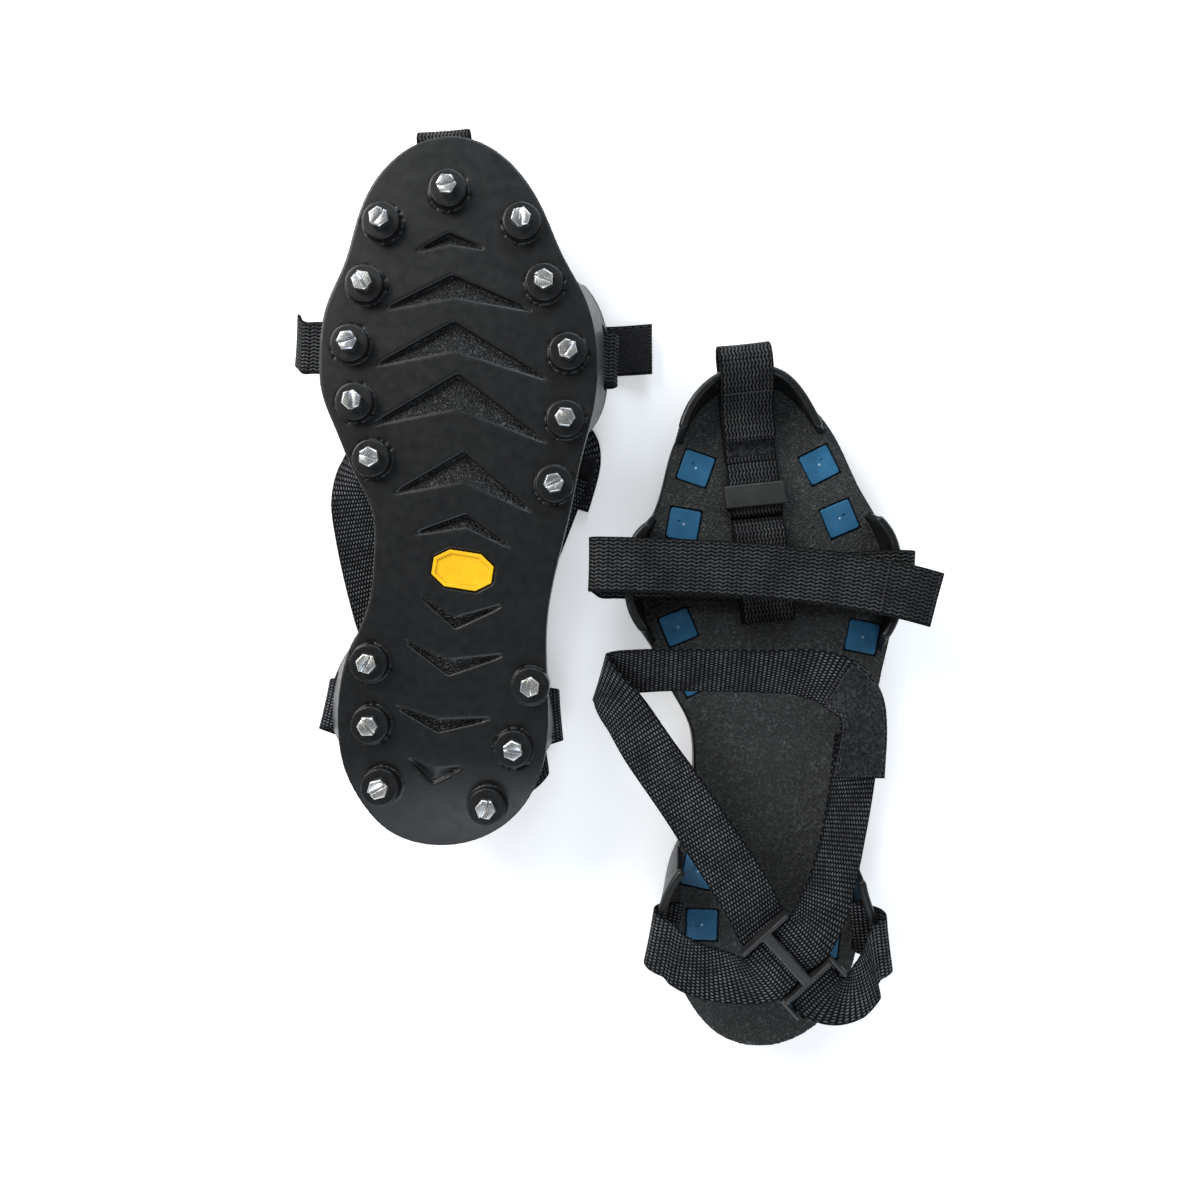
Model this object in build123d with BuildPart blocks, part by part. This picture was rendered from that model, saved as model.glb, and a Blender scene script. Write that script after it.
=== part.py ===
"""Pair of strap-on rubber ice cleats with hex-head screw cleats, anchor plates and webbing straps.

Each foot is modelled in a foot frame: X to the outer (lateral) side of a right foot, Y to the toes,
Z up from the ground under the cleat heads. The right foot stands on its cleats. The left foot is
the mirror image, turned sole up, and lies beside it on its straps.
"""

import os
from math import cos, radians, sin

from build123d import *

os.makedirs("parts", exist_ok=True)

# ---- driving dimensions, millimetres ----
HEAD_HEIGHT = 4.0
HEAD_ACROSS_FLATS = 7.94
SHANK_RADIUS = 2.4
SHANK_TOP = 17.0
SLOT_WIDTH = 1.4
SLOT_DEPTH = 1.2

BOSS_RADIUS = 8.4
RING_RADIUS = 9.5
RING_DEPTH = 1.2
SOLE_Z = 8.5
PLATE_TOP = 17.0
BED_TOP = 18.5

ANCHOR_SIDE = 15.0
ANCHOR_BOTTOM = 15.6
ANCHOR_TOP = 18.2
ANCHOR_CLEARANCE = 0.4
ANCHOR_INSET = 2.6
WINDOW_SIDE = 16.4

STRAP_WIDTH = 25.4
STRAP_THICKNESS = 1.8
STRAP_SLOT_LENGTH = 29.8
PAD_WIDTH = 21.0

BEAD_RADIUS = 2.1
WALL = 3.4
WALL_BASE_Z = 9.5
BED_GAP = 0.3

CHEVRON_DEPTH = 2.8
BADGE_HALF_LENGTH = 13.5
BADGE_HALF_WIDTH = 8.3
BADGE_TURN = -8.0
BADGE_CENTRE = (7.5, -36.9)

# heel rocker: the plate curves up behind this station
ROCKER_Y = -118.0
HEEL_Y = -172.0
ROCKER_BOTTOM_RISE = 14.0
ROCKER_TOP_RISE = 9.0

# outline of the rubber plate, from the toe round the lateral side
OUTLINE = [
    (-3, 157.5), (15, 154), (30, 142), (41, 125), (50, 105), (60, 87), (65, 71), (66.5, 54),
    (65, 37), (60, 16), (55, -10), (49.5, -34), (45.5, -60), (46, -84), (47, -106), (43, -130),
    (32, -148), (14, -160), (-6, -163), (-24, -157), (-37, -142), (-45, -124), (-47.5, -106),
    (-46, -86), (-40, -68), (-34, -50), (-32.5, -30), (-34, -10), (-42, 6), (-51, 26),
    (-57.5, 43), (-58.5, 58), (-56, 80), (-48, 100), (-42, 122), (-33, 140), (-20, 152),
]

# cleat positions, each with the turn of its anchor plate in degrees
CLEATS = [
    (-1.5, 132.5, 4), (-31, 117.5, -20), (31.5, 118.5, 26), (-38, 89.5, -11), (42, 91.5, 22),
    (-44, 63, 0), (53, 61, 0), (-41.5, 37, 22), (52.5, 31, -12), (-33.5, 12, 28),
    (48, 2, -9), (-33, -79, -14), (39, -88, 4), (-32, -106.5, -3), (32, -116, -8),
    (-27, -134, 30), (20.5, -142, 42),
]

# chevron pockets: outer apex, left tip, inner apex, right tip
CHEVRONS = [
    [(-1.3, 114.4), (-18.5, 104.4), (-1.2, 108.6), (18.7, 106.2)],
    [(0.5, 95.5), (-32, 78.5), (1.5, 84.3), (41, 78.7)],
    [(1.5, 74.6), (-36, 53), (1.7, 60.3), (47.7, 47.5)],
    [(3.8, 51.3), (-37, 26.4), (3.5, 34.2), (47.1, 19.2)],
    [(6.9, 16.2), (-26.2, -4), (6.8, 1.6), (41.6, -12.4)],
    [(8.5, -11.8), (-19, -22.2), (8.6, -18.2), (34, -29.2)],
    [(4.7, -63), (-18.2, -43.8), (4.6, -57.6), (31.3, -50)],
    [(1.8, -84), (-22.4, -66.3), (2.2, -76.4), (30.6, -73.6)],
    [(-2.4, -109.6), (-26, -96.4), (-1.9, -103.4), (26, -102.5)],
    [(-4.4, -133), (-17, -120.7), (-3.2, -125), (10.5, -124.6)],
]
CHEVRON_FLOOR_SHIFT = 0.75

# wall strips: outer points at the base and at the beaded top edge, and where they lean in to
TOE_RIM_BASE = [(-41, 123), (-33, 139.5), (-20, 151.5), (-3, 157), (15, 153.5), (29, 142), (37, 131)]
TOE_RIM_TOP = [(-38.5, 134), (-33, 146), (-21.5, 157), (-6, 161.5), (10, 158.5), (21, 147), (28, 134)]
TOE_RIM_TOP_Z = 31.4
TOE_RIM_CENTRE = (-2, 118)
WING_TOP_Z = 41.4
MEDIAL_FORE_BASE = [(-49.5, 95), (-56, 80), (-58, 60), (-57, 43), (-50.5, 26)]
MEDIAL_FORE_TOP = [(-57, 86), (-63, 78), (-65.5, 64), (-64.5, 49), (-59, 38)]
MEDIAL_FORE_CENTRE = (-20, 62)
LATERAL_FORE_BASE = [(55, 95), (61.5, 83), (66, 62), (65, 40), (60.5, 22)]
LATERAL_FORE_CENTRE = (25, 62)
MEDIAL_HEEL_BASE = [(-40, -67), (-46, -84), (-47, -101), (-45.5, -118)]
MEDIAL_HEEL_TOP = [(-47, -73), (-53.5, -84), (-57.4, -98), (-57, -113)]
MEDIAL_HEEL_CENTRE = (-15, -94)
LATERAL_HEEL_BASE = [(45.5, -70), (46, -86), (46.5, -104), (44, -122)]
LATERAL_HEEL_TOP = [(46, -79), (49, -90), (53, -103), (53.5, -117)]
LATERAL_HEEL_CENTRE = (15, -98)

# strap frames and heights
TOE_ORIGIN = (3.8, 39.2)
TOE_LEAN = 5.3
TOE_SLOT_Z = 26.3

# placing of the pair
RIGHT_PLACE = (75.8, -55.2, 0.7)
LEFT_PLACE = (-70.2, 46.1, -1.0)
LEFT_HEIGHT = 59.4


class Foot:
    """What differs between the two feet, because the soft parts lie differently."""

    def __init__(self, name, wing_lean, heel_leans, lateral_fore_top, instep, flap_line, medial_run,
                 lateral_run, closure_run):
        self.name = name
        self.wing_lean = wing_lean
        self.medial_heel_lean, self.lateral_heel_lean = heel_leans
        self.lateral_fore_top = lateral_fore_top
        self.instep_y, self.instep_slope = instep
        self.flap_line = flap_line
        self.medial_run = medial_run
        self.lateral_run = lateral_run
        self.closure_run = closure_run


# ankle straps inside the buckle, the same on both feet: centre point and direction across
BUCKLE_MEDIAL = [((-6.1, -119.8, 47.8), (-0.66, 0.751, 0)), ((15.7, -100.6, 47.8), (-0.66, 0.751, 0))]
BUCKLE_LATERAL = [((22, -129.7, 43.4), (-0.751, -0.66, 0)), ((3.5, -108.7, 43.4), (-0.751, -0.66, 0))]

RIGHT = Foot(
    name="right",
    wing_lean=-5.0,
    heel_leans=(4.0, -3.0),
    lateral_fore_top=[(58, 88), (64, 79), (66.8, 63), (66, 46), (60, 33)],
    instep=(62.5, -0.035),
    flap_line=[
        (-80.5, 68.2, 41.2), (-81.4, 68.2, 43.4), (-79.8, 68.2, 45.8), (-76, 68.1, 47.2),
        (-63, 67.6, 47.6), (-35, 66.3, 46.5), (0, 63.8, 45.8), (30, 60, 47.4), (52, 55.8, 50.4),
        (62, 53.3, 51.4), (69, 51.4, 51), (74, 50, 50.3),
    ],
    medial_run=[
        ((-45, -110, 47.8), (0.2, 0.98, 0)), ((-39, -114, 47.3), (0.12, 0.99, 0)),
        ((-30, -117.5, 47), (0, 1, 0)), ((-18, -119.5, 47.4), (-0.25, 0.97, 0)),
        *BUCKLE_MEDIAL,
        ((21, -89, 49.8), (-0.88, 0.47, 0)), ((25.5, -74, 52), (-0.96, 0.27, 0)),
        ((30, -55, 52.8), (-0.98, 0.2, 0)), ((34, -32, 53.6), (-1, 0.05, 0)),
        ((36, -15, 53.8), (-0.98, -0.1, 0)), ((37, -6, 53.8), (-0.97, -0.15, 0)),
    ],
    lateral_run=[
        ((44.5, -112, 47.6), (0.15, -0.98, 0)), ((44, -119, 46.4), (0.35, -0.93, -0.1)),
        ((38.5, -127.5, 44.6), (0.2, -0.98, -0.05)), ((30.5, -131.5, 43.6), (-0.3, -0.95, 0)),
        *BUCKLE_LATERAL,
        ((-5, -97.5, 43.7), (-0.8, -0.6, 0)), ((-14, -80, 45.5), (-0.84, -0.54, 0)),
        ((-41.5, -37, 48), (-0.84, -0.54, 0)), ((-62, -4.5, 49), (-0.84, -0.54, 0)),
        ((-67.5, 6, 49.4), (-0.9, -0.3, 0.3)),
    ],
    closure_run=[
        ((-66.5, 18.5, 50.6), (-0.7, 0.5, 0.5)), ((-60, 20.5, 50.7), (-0.12, 0.9, 0.66)),
        ((-45, 20, 50.4), (0, 0.9, 0.66)), ((-5, 19, 50.4), (0, 0.9, 0.66)),
        ((12, 18.5, 51.4), (0.1, 0.9, 0.53)), ((26, 15, 54), (0.4, 0.85, 0.33)),
        ((36.5, 6, 56.2), (0.8, 0.6, 0)), ((39, -6, 56.3), (0.98, 0.15, 0)),
        ((36, -28, 56.3), (0.99, -0.05, 0)),
    ],
)
LEFT = Foot(
    name="left",
    wing_lean=4.0,
    heel_leans=(-3.0, -5.0),
    lateral_fore_top=[(55, 103), (62.5, 92), (66.5, 78), (67, 63), (65.5, 46), (59, 33)],
    instep=(68.5, -0.02),
    flap_line=[
        (-79.5, 74.4, 41.2), (-80.8, 74.4, 46), (-79.8, 74.5, 52), (-75, 74.6, 56.4),
        (-66, 74.8, 57.6), (-35, 75, 57.8), (0, 75.2, 57.8), (40, 75.6, 57.8), (68, 76, 57.6),
        (80, 76.2, 56), (93, 76.5, 53),
    ],
    medial_run=[
        ((-53, -112, 47.8), (0.1, 0.99, 0)), ((-47, -119, 47.3), (0.1, 0.99, 0)),
        ((-36, -123.5, 47), (0, 1, 0)), ((-20, -123.5, 47.4), (-0.25, 0.97, 0)),
        *BUCKLE_MEDIAL,
        ((20, -89, 49.8), (-0.9, 0.44, 0)), ((23.5, -74, 52), (-0.98, 0.2, 0)),
        ((27, -57, 52.8), (-0.97, 0.22, 0)), ((32, -38, 53.6), (-0.95, 0.3, 0)),
        ((41, -13, 53.8), (-0.94, 0.33, 0)), ((51, 14, 53.8), (-0.94, 0.33, 0)),
    ],
    lateral_run=[
        ((42.5, -113, 47.6), (0.1, -0.99, 0)), ((42, -123, 46.4), (0.3, -0.95, -0.1)),
        ((36, -131, 44.6), (0.1, -0.99, -0.05)), ((29, -133, 43.6), (-0.4, -0.9, 0)),
        *BUCKLE_LATERAL,
        ((-5, -97.5, 43.7), (-0.78, -0.62, 0)), ((-22, -82, 45.5), (-0.75, -0.66, 0)),
        ((-36, -66, 47), (-0.86, -0.5, 0)), ((-43, -46, 48), (-0.95, -0.3, 0)),
        ((-49, -22, 48.8), (-0.98, -0.2, 0)), ((-52.5, -3, 49.2), (-0.99, -0.1, 0.1)),
    ],
    closure_run=[
        ((-52, 13, 50.6), (-0.75, 0.45, 0.5)), ((-46, 19, 53.5), (-0.12, 0.9, 0.1)),
        ((-30, 24, 56), (0, 0.9, 0.1)), ((0, 30, 56), (-0.1, 0.9, 0.1)),
        ((25, 35, 57), (0, 0.9, 0)), ((42, 36, 57), (0.35, 0.9, 0)),
        ((54, 29, 57), (0.75, 0.66, 0)), ((56, 18, 57), (0.95, 0.1, 0)),
        ((50.5, -2, 57), (0.95, -0.25, 0)),
    ],
)


def unit(vector):
    return Vector(*vector).normalized()


def webbing(stations, width=STRAP_WIDTH, thickness=STRAP_THICKNESS):
    """Flat band through stations, each a centre point and the direction across the band."""
    points = [Vector(point) for point, _ in stations]
    with BuildPart() as band:
        for index, (point, across) in enumerate(stations):
            ahead = points[min(index + 1, len(points) - 1)] - points[index]
            behind = points[index] - points[max(index - 1, 0)]
            heading = Vector(0, 0, 0)
            for leg in (ahead, behind):
                if leg.length > 0:
                    heading += leg.normalized()
            side = unit(across)
            heading -= side * heading.dot(side)
            with BuildSketch(Plane(origin=point, x_dir=side, z_dir=heading)):
                Rectangle(width, thickness)
        loft(ruled=True)
    return band.part


def inward(points, centre, amount):
    """Points moved by an amount towards a centre."""
    target = Vector(*centre)
    corners = [Vector(*point) for point in points]
    return [corner + (target - corner).normalized() * amount for corner in corners]


def leaning(points, lean):
    return [(x + lean, y) for x, y in points]


def wall_section(curve, centre, z, gap=0):
    """Closed face of a wall between its outer curve and the same curve moved in, widened by a gap."""
    outer = inward(curve, centre, -gap)
    inner = inward(curve, centre, WALL + gap)
    with BuildSketch(Plane.XY.offset(z)) as section:
        with BuildLine():
            front = Spline(*outer)
            back = Spline(*inner)
            Line(front @ 0, back @ 0)
            Line(front @ 1, back @ 1)
        make_face()
    return section.sketch.face()


def wall_panel(base, top, centre, top_z, gap=0):
    """Flared panel that leans from its base curve to its top curve."""
    with BuildPart() as panel:
        loft([wall_section(base, centre, WALL_BASE_Z, gap), wall_section(top, centre, top_z, gap)])
    return panel.part


def wall(base, top, centre, top_z):
    """Flared wall with a bead along its top edge."""
    middle = [(p.X, p.Y, top_z) for p in inward(top, centre, WALL / 2)]
    with BuildPart() as part:
        add(wall_panel(base, top, centre, top_z))
        with BuildLine() as edge:
            Spline(*middle)
        with BuildSketch(Plane(origin=edge.line @ 0, z_dir=edge.line % 0)):
            Circle(BEAD_RADIUS)
        sweep(path=edge.line)
        with Locations(edge.line @ 0, edge.line @ 1):
            Sphere(BEAD_RADIUS)
    return part.part


def inset_outline(inset):
    """Outline points moved in, square to the chord between their neighbours."""
    points = []
    for index, (x, y) in enumerate(OUTLINE):
        before = OUTLINE[index - 1]
        after = OUTLINE[(index + 1) % len(OUTLINE)]
        chord = unit((after[0] - before[0], after[1] - before[1]))
        points.append((x + inset * chord.Y, y - inset * chord.X))
    return points


def curved_plate(inset, bottom, bottom_rise, top, top_rise):
    """Plate of the foot's outline, flat, and curving up behind the rocker station."""
    toe_y = 175
    with BuildPart() as plate:
        with BuildSketch():
            with BuildLine():
                Spline(*inset_outline(inset), periodic=True)
            make_face()
        extrude(amount=45)
        with BuildSketch(Plane.YZ):
            with BuildLine():
                Line((toe_y, bottom), (ROCKER_Y, bottom))
                TangentArc((ROCKER_Y, bottom), (HEEL_Y, bottom + bottom_rise), tangent=(-1, 0))
                Line((HEEL_Y, bottom + bottom_rise), (HEEL_Y, top + top_rise))
                TangentArc((ROCKER_Y, top), (HEEL_Y, top + top_rise), tangent=(-1, 0))
                Line((ROCKER_Y, top), (toe_y, top))
                Line((toe_y, top), (toe_y, bottom))
            make_face()
        extrude(amount=100, both=True, mode=Mode.INTERSECT)
    return plate.part


def anchor_spots():
    """Anchor plates, set in from their cleats towards the middle of the forefoot or of the heel."""
    spots = []
    for x, y, turn in CLEATS:
        middle = Vector(3, 62) if y > -30 else Vector(0, -104)
        centre = Vector(x, y) + (middle - Vector(x, y)).normalized() * ANCHOR_INSET
        spots.append(Location((centre.X, centre.Y), turn))
    return spots


def wall_curves(foot):
    """Base curve, top curve, centre and top height of the toe rim and of the four strap wings."""
    fore_top = leaning(foot.lateral_fore_top, foot.wing_lean)
    medial_top = leaning(MEDIAL_HEEL_TOP, foot.medial_heel_lean)
    lateral_top = leaning(LATERAL_HEEL_TOP, foot.lateral_heel_lean)
    return [
        (TOE_RIM_BASE, TOE_RIM_TOP, TOE_RIM_CENTRE, TOE_RIM_TOP_Z),
        (MEDIAL_FORE_BASE, MEDIAL_FORE_TOP, MEDIAL_FORE_CENTRE, WING_TOP_Z),
        (LATERAL_FORE_BASE, fore_top, LATERAL_FORE_CENTRE, WING_TOP_Z),
        (MEDIAL_HEEL_BASE, medial_top, MEDIAL_HEEL_CENTRE, WING_TOP_Z),
        (LATERAL_HEEL_BASE, lateral_top, LATERAL_HEEL_CENTRE, WING_TOP_Z),
    ]


def outsole(foot):
    """Rubber cradle: plate with rocker, bosses, pockets, toe rim and four strap wings."""
    with BuildPart() as sole:
        add(curved_plate(0, SOLE_Z, ROCKER_BOTTOM_RISE, PLATE_TOP, ROCKER_TOP_RISE))
        for curves in wall_curves(foot):
            add(wall(*curves))

        boss_top = 15.0
        spots = [(x, y) for x, y, _ in CLEATS]
        with BuildSketch(Plane.XY.offset(SOLE_Z)):
            with Locations(*spots):
                Circle(RING_RADIUS)
                Circle(BOSS_RADIUS - 0.1, mode=Mode.SUBTRACT)
        extrude(amount=RING_DEPTH, mode=Mode.SUBTRACT)
        with BuildSketch(Plane.XY.offset(HEAD_HEIGHT)):
            with Locations(*spots):
                Circle(BOSS_RADIUS)
        extrude(amount=boss_top - HEAD_HEIGHT)
        with BuildSketch(Plane.XY.offset(HEAD_HEIGHT)):
            with Locations(*spots):
                Circle(SHANK_RADIUS + 0.1)
        extrude(amount=PLATE_TOP, mode=Mode.SUBTRACT)
        with BuildSketch(Plane.XY.offset(ANCHOR_BOTTOM)):
            with Locations(*anchor_spots()):
                Rectangle(ANCHOR_SIDE + ANCHOR_CLEARANCE, ANCHOR_SIDE + ANCHOR_CLEARANCE)
        extrude(amount=10, mode=Mode.SUBTRACT)

        for outer, left, inner, right in CHEVRONS:
            apex = Vector(*outer)
            floor_inner = Vector(*inner) + (apex - Vector(*inner)) * CHEVRON_FLOOR_SHIFT
            floor_left = Vector(*left) + (apex - Vector(*left)) * 0.12
            floor_right = Vector(*right) + (apex - Vector(*right)) * 0.12
            with BuildSketch(Plane.XY.offset(SOLE_Z)):
                with BuildLine():
                    Polyline(outer, left, inner, right, close=True)
                make_face()
            with BuildSketch(Plane.XY.offset(SOLE_Z + CHEVRON_DEPTH)):
                with BuildLine():
                    Polyline(apex, floor_left, floor_inner, floor_right, close=True)
                make_face()
            loft(ruled=True, mode=Mode.SUBTRACT)

        badge_gap = 0.6
        extrude(badge_outline(badge_gap, SOLE_Z), amount=2.0, mode=Mode.SUBTRACT)

        lateral_x = 64.5 + foot.wing_lean
        slots = [
            (-7.3, 158.0, TOE_SLOT_Z, 90 + TOE_LEAN, 20, 4.2),
            (-61.5, instep_y(foot, -61.5), 36.5, 0, 19, 6.6),
            (lateral_x - 1, instep_y(foot, lateral_x), 36.6, 0, 19, 6.6),
            (foot.medial_heel_lean - 54, -101.5, 36.8, -12, 19, 7.2),
            (foot.lateral_heel_lean + 51.5, -104, 36.3, 5, 19, 6.4),
        ]
        for x, y, z, turn, depth, height in slots:
            with Locations(Location((x, y, z), (0, 0, turn))):
                Box(depth, STRAP_SLOT_LENGTH, height, mode=Mode.SUBTRACT)
    return sole.part


def badge_outline(grow, z):
    """Octagon of the badge at a height, grown by a gap."""
    length = BADGE_HALF_LENGTH + grow
    width = BADGE_HALF_WIDTH + grow
    corner_x = length * 0.52
    corner_y = width * 0.45
    with BuildSketch(Plane(origin=(*BADGE_CENTRE, z)).rotated((0, 0, BADGE_TURN))) as outline:
        Polygon(
            (-corner_x, width), (corner_x, width), (length, corner_y), (length, -corner_y),
            (corner_x, -width), (-corner_x, -width), (-length, -corner_y), (-length, corner_y),
            align=None,
        )
    return outline.sketch


def footbed(foot):
    """Grained top sheet with a window over each anchor plate."""
    inset = 1.2
    with BuildPart() as sheet:
        add(curved_plate(inset, PLATE_TOP, ROCKER_TOP_RISE, BED_TOP, ROCKER_TOP_RISE))
        for curves in wall_curves(foot):
            add(wall_panel(*curves, gap=BED_GAP), mode=Mode.SUBTRACT)
        with BuildSketch(Plane.XY.offset(PLATE_TOP)):
            with Locations(*anchor_spots()):
                Rectangle(WINDOW_SIDE, WINDOW_SIDE)
        extrude(amount=12, mode=Mode.SUBTRACT)
    return Part(sheet.part.solids().sort_by(SortBy.VOLUME)[-1].wrapped)


def cleat_screws(foot):
    """Hex-head slotted screws, one under each anchor plate."""
    with BuildPart() as screws:
        with BuildSketch():
            for index, (x, y, _) in enumerate(CLEATS):
                with Locations(Location((x, y), 37 * index)):
                    RegularPolygon(HEAD_ACROSS_FLATS / 2, 6, major_radius=False)
        extrude(amount=HEAD_HEIGHT)
        chamfer(screws.faces().filter_by(Axis.Z).group_by(Axis.Z)[0].edges(), 0.5)
        with BuildSketch():
            for index, (x, y, _) in enumerate(CLEATS):
                with Locations(Location((x, y), 37 * index + 15)):
                    Rectangle(HEAD_ACROSS_FLATS * 2, SLOT_WIDTH)
        extrude(amount=SLOT_DEPTH, mode=Mode.SUBTRACT)
        with BuildSketch(Plane.XY.offset(HEAD_HEIGHT)):
            with Locations(*[(x, y) for x, y, _ in CLEATS]):
                Circle(SHANK_RADIUS)
        extrude(amount=SHANK_TOP - HEAD_HEIGHT)
    return screws.part


def anchor_plates(foot):
    """Square nuts that the screws thread into, with a centre dimple."""
    with BuildPart() as plates:
        with BuildSketch(Plane.XY.offset(ANCHOR_BOTTOM)):
            with Locations(*anchor_spots()):
                RectangleRounded(ANCHOR_SIDE, ANCHOR_SIDE, 1.4)
        extrude(amount=ANCHOR_TOP - ANCHOR_BOTTOM)
        with BuildSketch(Plane.XY.offset(ANCHOR_BOTTOM)):
            with Locations(*[(x, y) for x, y, _ in CLEATS]):
                Circle(SHANK_RADIUS + 0.05)
        extrude(amount=SHANK_TOP + 0.2 - ANCHOR_BOTTOM, mode=Mode.SUBTRACT)
        with BuildSketch(Plane.XY.offset(ANCHOR_TOP)):
            with Locations(*[(x, y) for x, y, _ in CLEATS]):
                Circle(0.8)
        extrude(amount=-0.4, mode=Mode.SUBTRACT)
        chamfer(plates.faces().filter_by(Axis.Z).group_by(Axis.Z)[-1].edges().filter_by(GeomType.LINE), 0.4)
    return plates.part


def badge(foot):
    """Octagonal inlay with a raised border."""
    border = -1.5
    with BuildPart() as plate:
        extrude(badge_outline(0, SOLE_Z - 0.4), amount=2.2)
        extrude(badge_outline(border, SOLE_Z - 0.4), amount=0.6, mode=Mode.SUBTRACT)
    return plate.part


# ---- toe strap ----
def toe_station(along, z):
    """Centre point at a length along the toe strap, with its across direction."""
    lean = radians(TOE_LEAN)
    point = (TOE_ORIGIN[0] - sin(lean) * along, TOE_ORIGIN[1] + cos(lean) * along, z)
    return point, (cos(lean), sin(lean), 0)


def toe_band(line, width=STRAP_WIDTH, thickness=STRAP_THICKNESS):
    return webbing([toe_station(along, z) for along, z in line], width, thickness)


def toe_strap(foot):
    """Sewn end, loop round the instep strap, then forward under the keeper and out of the rim."""
    return toe_band([
        (49.5, 21.8), (47, 22.8), (43.5, 24.8), (4, 24.8), (2.3, 24.2), (1.5, 22.3), (2.3, 20.4),
        (4, 19.8), (51, 19.8), (55, 21.5), (76, 21.5), (80, 20.2), (106, 20.2), (112, 25.2),
        (115.5, 26.3), (129, 26.3),
    ])


def toe_flap(foot):
    """Strap end, folded back over the rim onto the strap."""
    return toe_band([
        (129.5, 28.9), (131.4, 31.2), (131, 33.8), (128.6, 35.7), (124, 36.4), (116, 35.2),
        (110, 31), (104, 25.8), (101, 24.6), (88.5, 24.6),
    ])


def toe_loop_pad(foot):
    return toe_band([(81, 21.75), (104, 21.75)], PAD_WIDTH, 1.0)


def toe_hook_pad(foot):
    return toe_band([(89.5, 23.1), (100, 23.1)], PAD_WIDTH, 0.9)


def toe_keeper(foot):
    """Flat plastic loop round the toe strap."""
    point, across = toe_station(62.5, 18.9)
    height = 5.3
    depth = 11.0
    width = 28.6
    with BuildPart() as keeper:
        with BuildSketch(Plane(origin=point, x_dir=across, z_dir=(0, 0, 1))):
            RectangleRounded(width, depth, 1.0)
        extrude(amount=height)
        chamfer(keeper.faces().sort_by(Axis.Z)[-1].edges(), 0.5)
        with Locations(Location((point[0], point[1], point[2] + 2.6), (0, 0, TOE_LEAN))):
            Box(26.2, depth + 2, 2.7, mode=Mode.SUBTRACT)
    return keeper.part


# ---- instep strap ----
def instep_y(foot, x):
    return foot.instep_y + foot.instep_slope * x


def instep_strap(foot):
    """Sewn loop over the lateral wing, lower layer across the bed, out of the medial slot."""
    wing_x = 64.5 + foot.wing_lean
    line = [
        (wing_x - 13, 31), (wing_x - 9, 39.5), (wing_x - 4.5, 45.4), (wing_x, 47.2),
        (wing_x + 5, 45.6), (wing_x + 7, 41.8), (wing_x + 5, 38.2), (wing_x, 37.2),
        (wing_x - 5, 35.3), (wing_x - 13, 25.5), (44, 22.2), (-44, 22.2), (-49.5, 25.5),
        (-57.5, 35.5), (-62.5, 37.1), (-70, 38), (-79, 38.6),
    ]
    across = (-foot.instep_slope, 1, 0)
    return webbing([((x, instep_y(foot, x), z), across) for x, z in line])


def plan_across(points):
    """Horizontal direction to the left of the way that a line of points runs."""
    result = []
    for index in range(len(points)):
        first = points[max(index - 1, 0)]
        last = points[min(index + 1, len(points) - 1)]
        run = last[0] - first[0], last[1] - first[1]
        result.append((-run[1], run[0], 0) if run[0] > 3 else (0.03, 1, 0))
    return result


def instep_flap(foot):
    """Top layer, from its fold beyond the medial wing over to its free tail."""
    stations = list(zip(foot.flap_line, plan_across(foot.flap_line)))
    return webbing(stations[::-1])


def instep_loop_pad(foot):
    """Loop pile on the lower layer, beside the toe strap."""
    line = [(-42, 23.65), (-14, 23.65)]
    across = (-foot.instep_slope, 1, 0)
    return webbing([((x, instep_y(foot, x), z), across) for x, z in line], PAD_WIDTH, 0.9)


def instep_hook_pad(foot):
    """Hook tape under the free tail."""
    below = STRAP_THICKNESS / 2 + 0.55
    length = 26
    line = [(x, y, z - below) for x, y, z in foot.flap_line if x > foot.flap_line[-1][0] - length]
    return webbing(list(zip(line, plan_across(line))), PAD_WIDTH, 0.9)


# ---- ankle straps ----
def ankle_anchor_medial(foot):
    """Strap end sewn through the medial heel slot and over the wing."""
    across = (0.2, 0.98, 0)
    line = [
        (-46.5, -101, 35.6), (-50, -101, 36.4), (-54.5, -101, 36.9), (-58.6, -101.4, 38.6),
        (-59.9, -102.2, 42), (-58.9, -103.4, 45.4), (-55.5, -105, 47.2), (-52, -106.6, 47.6),
    ]
    return webbing([((x + foot.medial_heel_lean, y, z), across) for x, y, z in line])


def ankle_anchor_lateral(foot):
    """Strap end sewn through the lateral heel slot and over the wing."""
    across = (0.1, -1, 0)
    line = [
        (43, -103, 31), (47.5, -103.4, 35), (52, -104, 36.7), (54.8, -104.6, 38.6),
        (55.8, -105.4, 42), (54.8, -106.4, 45.4), (52, -107.6, 47.2), (49.4, -108.8, 47.6),
    ]
    return webbing([((x + foot.lateral_heel_lean, y, z), across) for x, y, z in line])


def ankle_strap_medial(foot):
    """From the medial wing through the buckle and forward to the closure."""
    return webbing(foot.medial_run)


def ankle_strap_lateral(foot):
    """From the lateral wing under the buckle and on to the fold."""
    return webbing(foot.lateral_run)


def ankle_closure(foot):
    """From the fold across the ankle and down over the end of the medial strap."""
    return webbing(foot.closure_run[::-1])


def closure_end(foot, rise, thickness):
    """Band over or under the last stretch of the closure."""
    (first, first_side), (last, last_side) = foot.closure_run[-2:]
    lift = Vector(0, 0, rise)
    trim = (Vector(*last) - Vector(*first)) * 0.05
    stations = [(Vector(*first) + lift + trim, first_side), (Vector(*last) + lift - trim, last_side)]
    return webbing(stations, PAD_WIDTH, thickness)


def closure_pad(foot):
    """Loop pile on top of the overlap."""
    return closure_end(foot, 1.55, 0.9)


def closure_hook_pad(foot):
    """Hook tape between the overlap and the medial strap."""
    return closure_end(foot, -1.25, 0.5)


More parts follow.
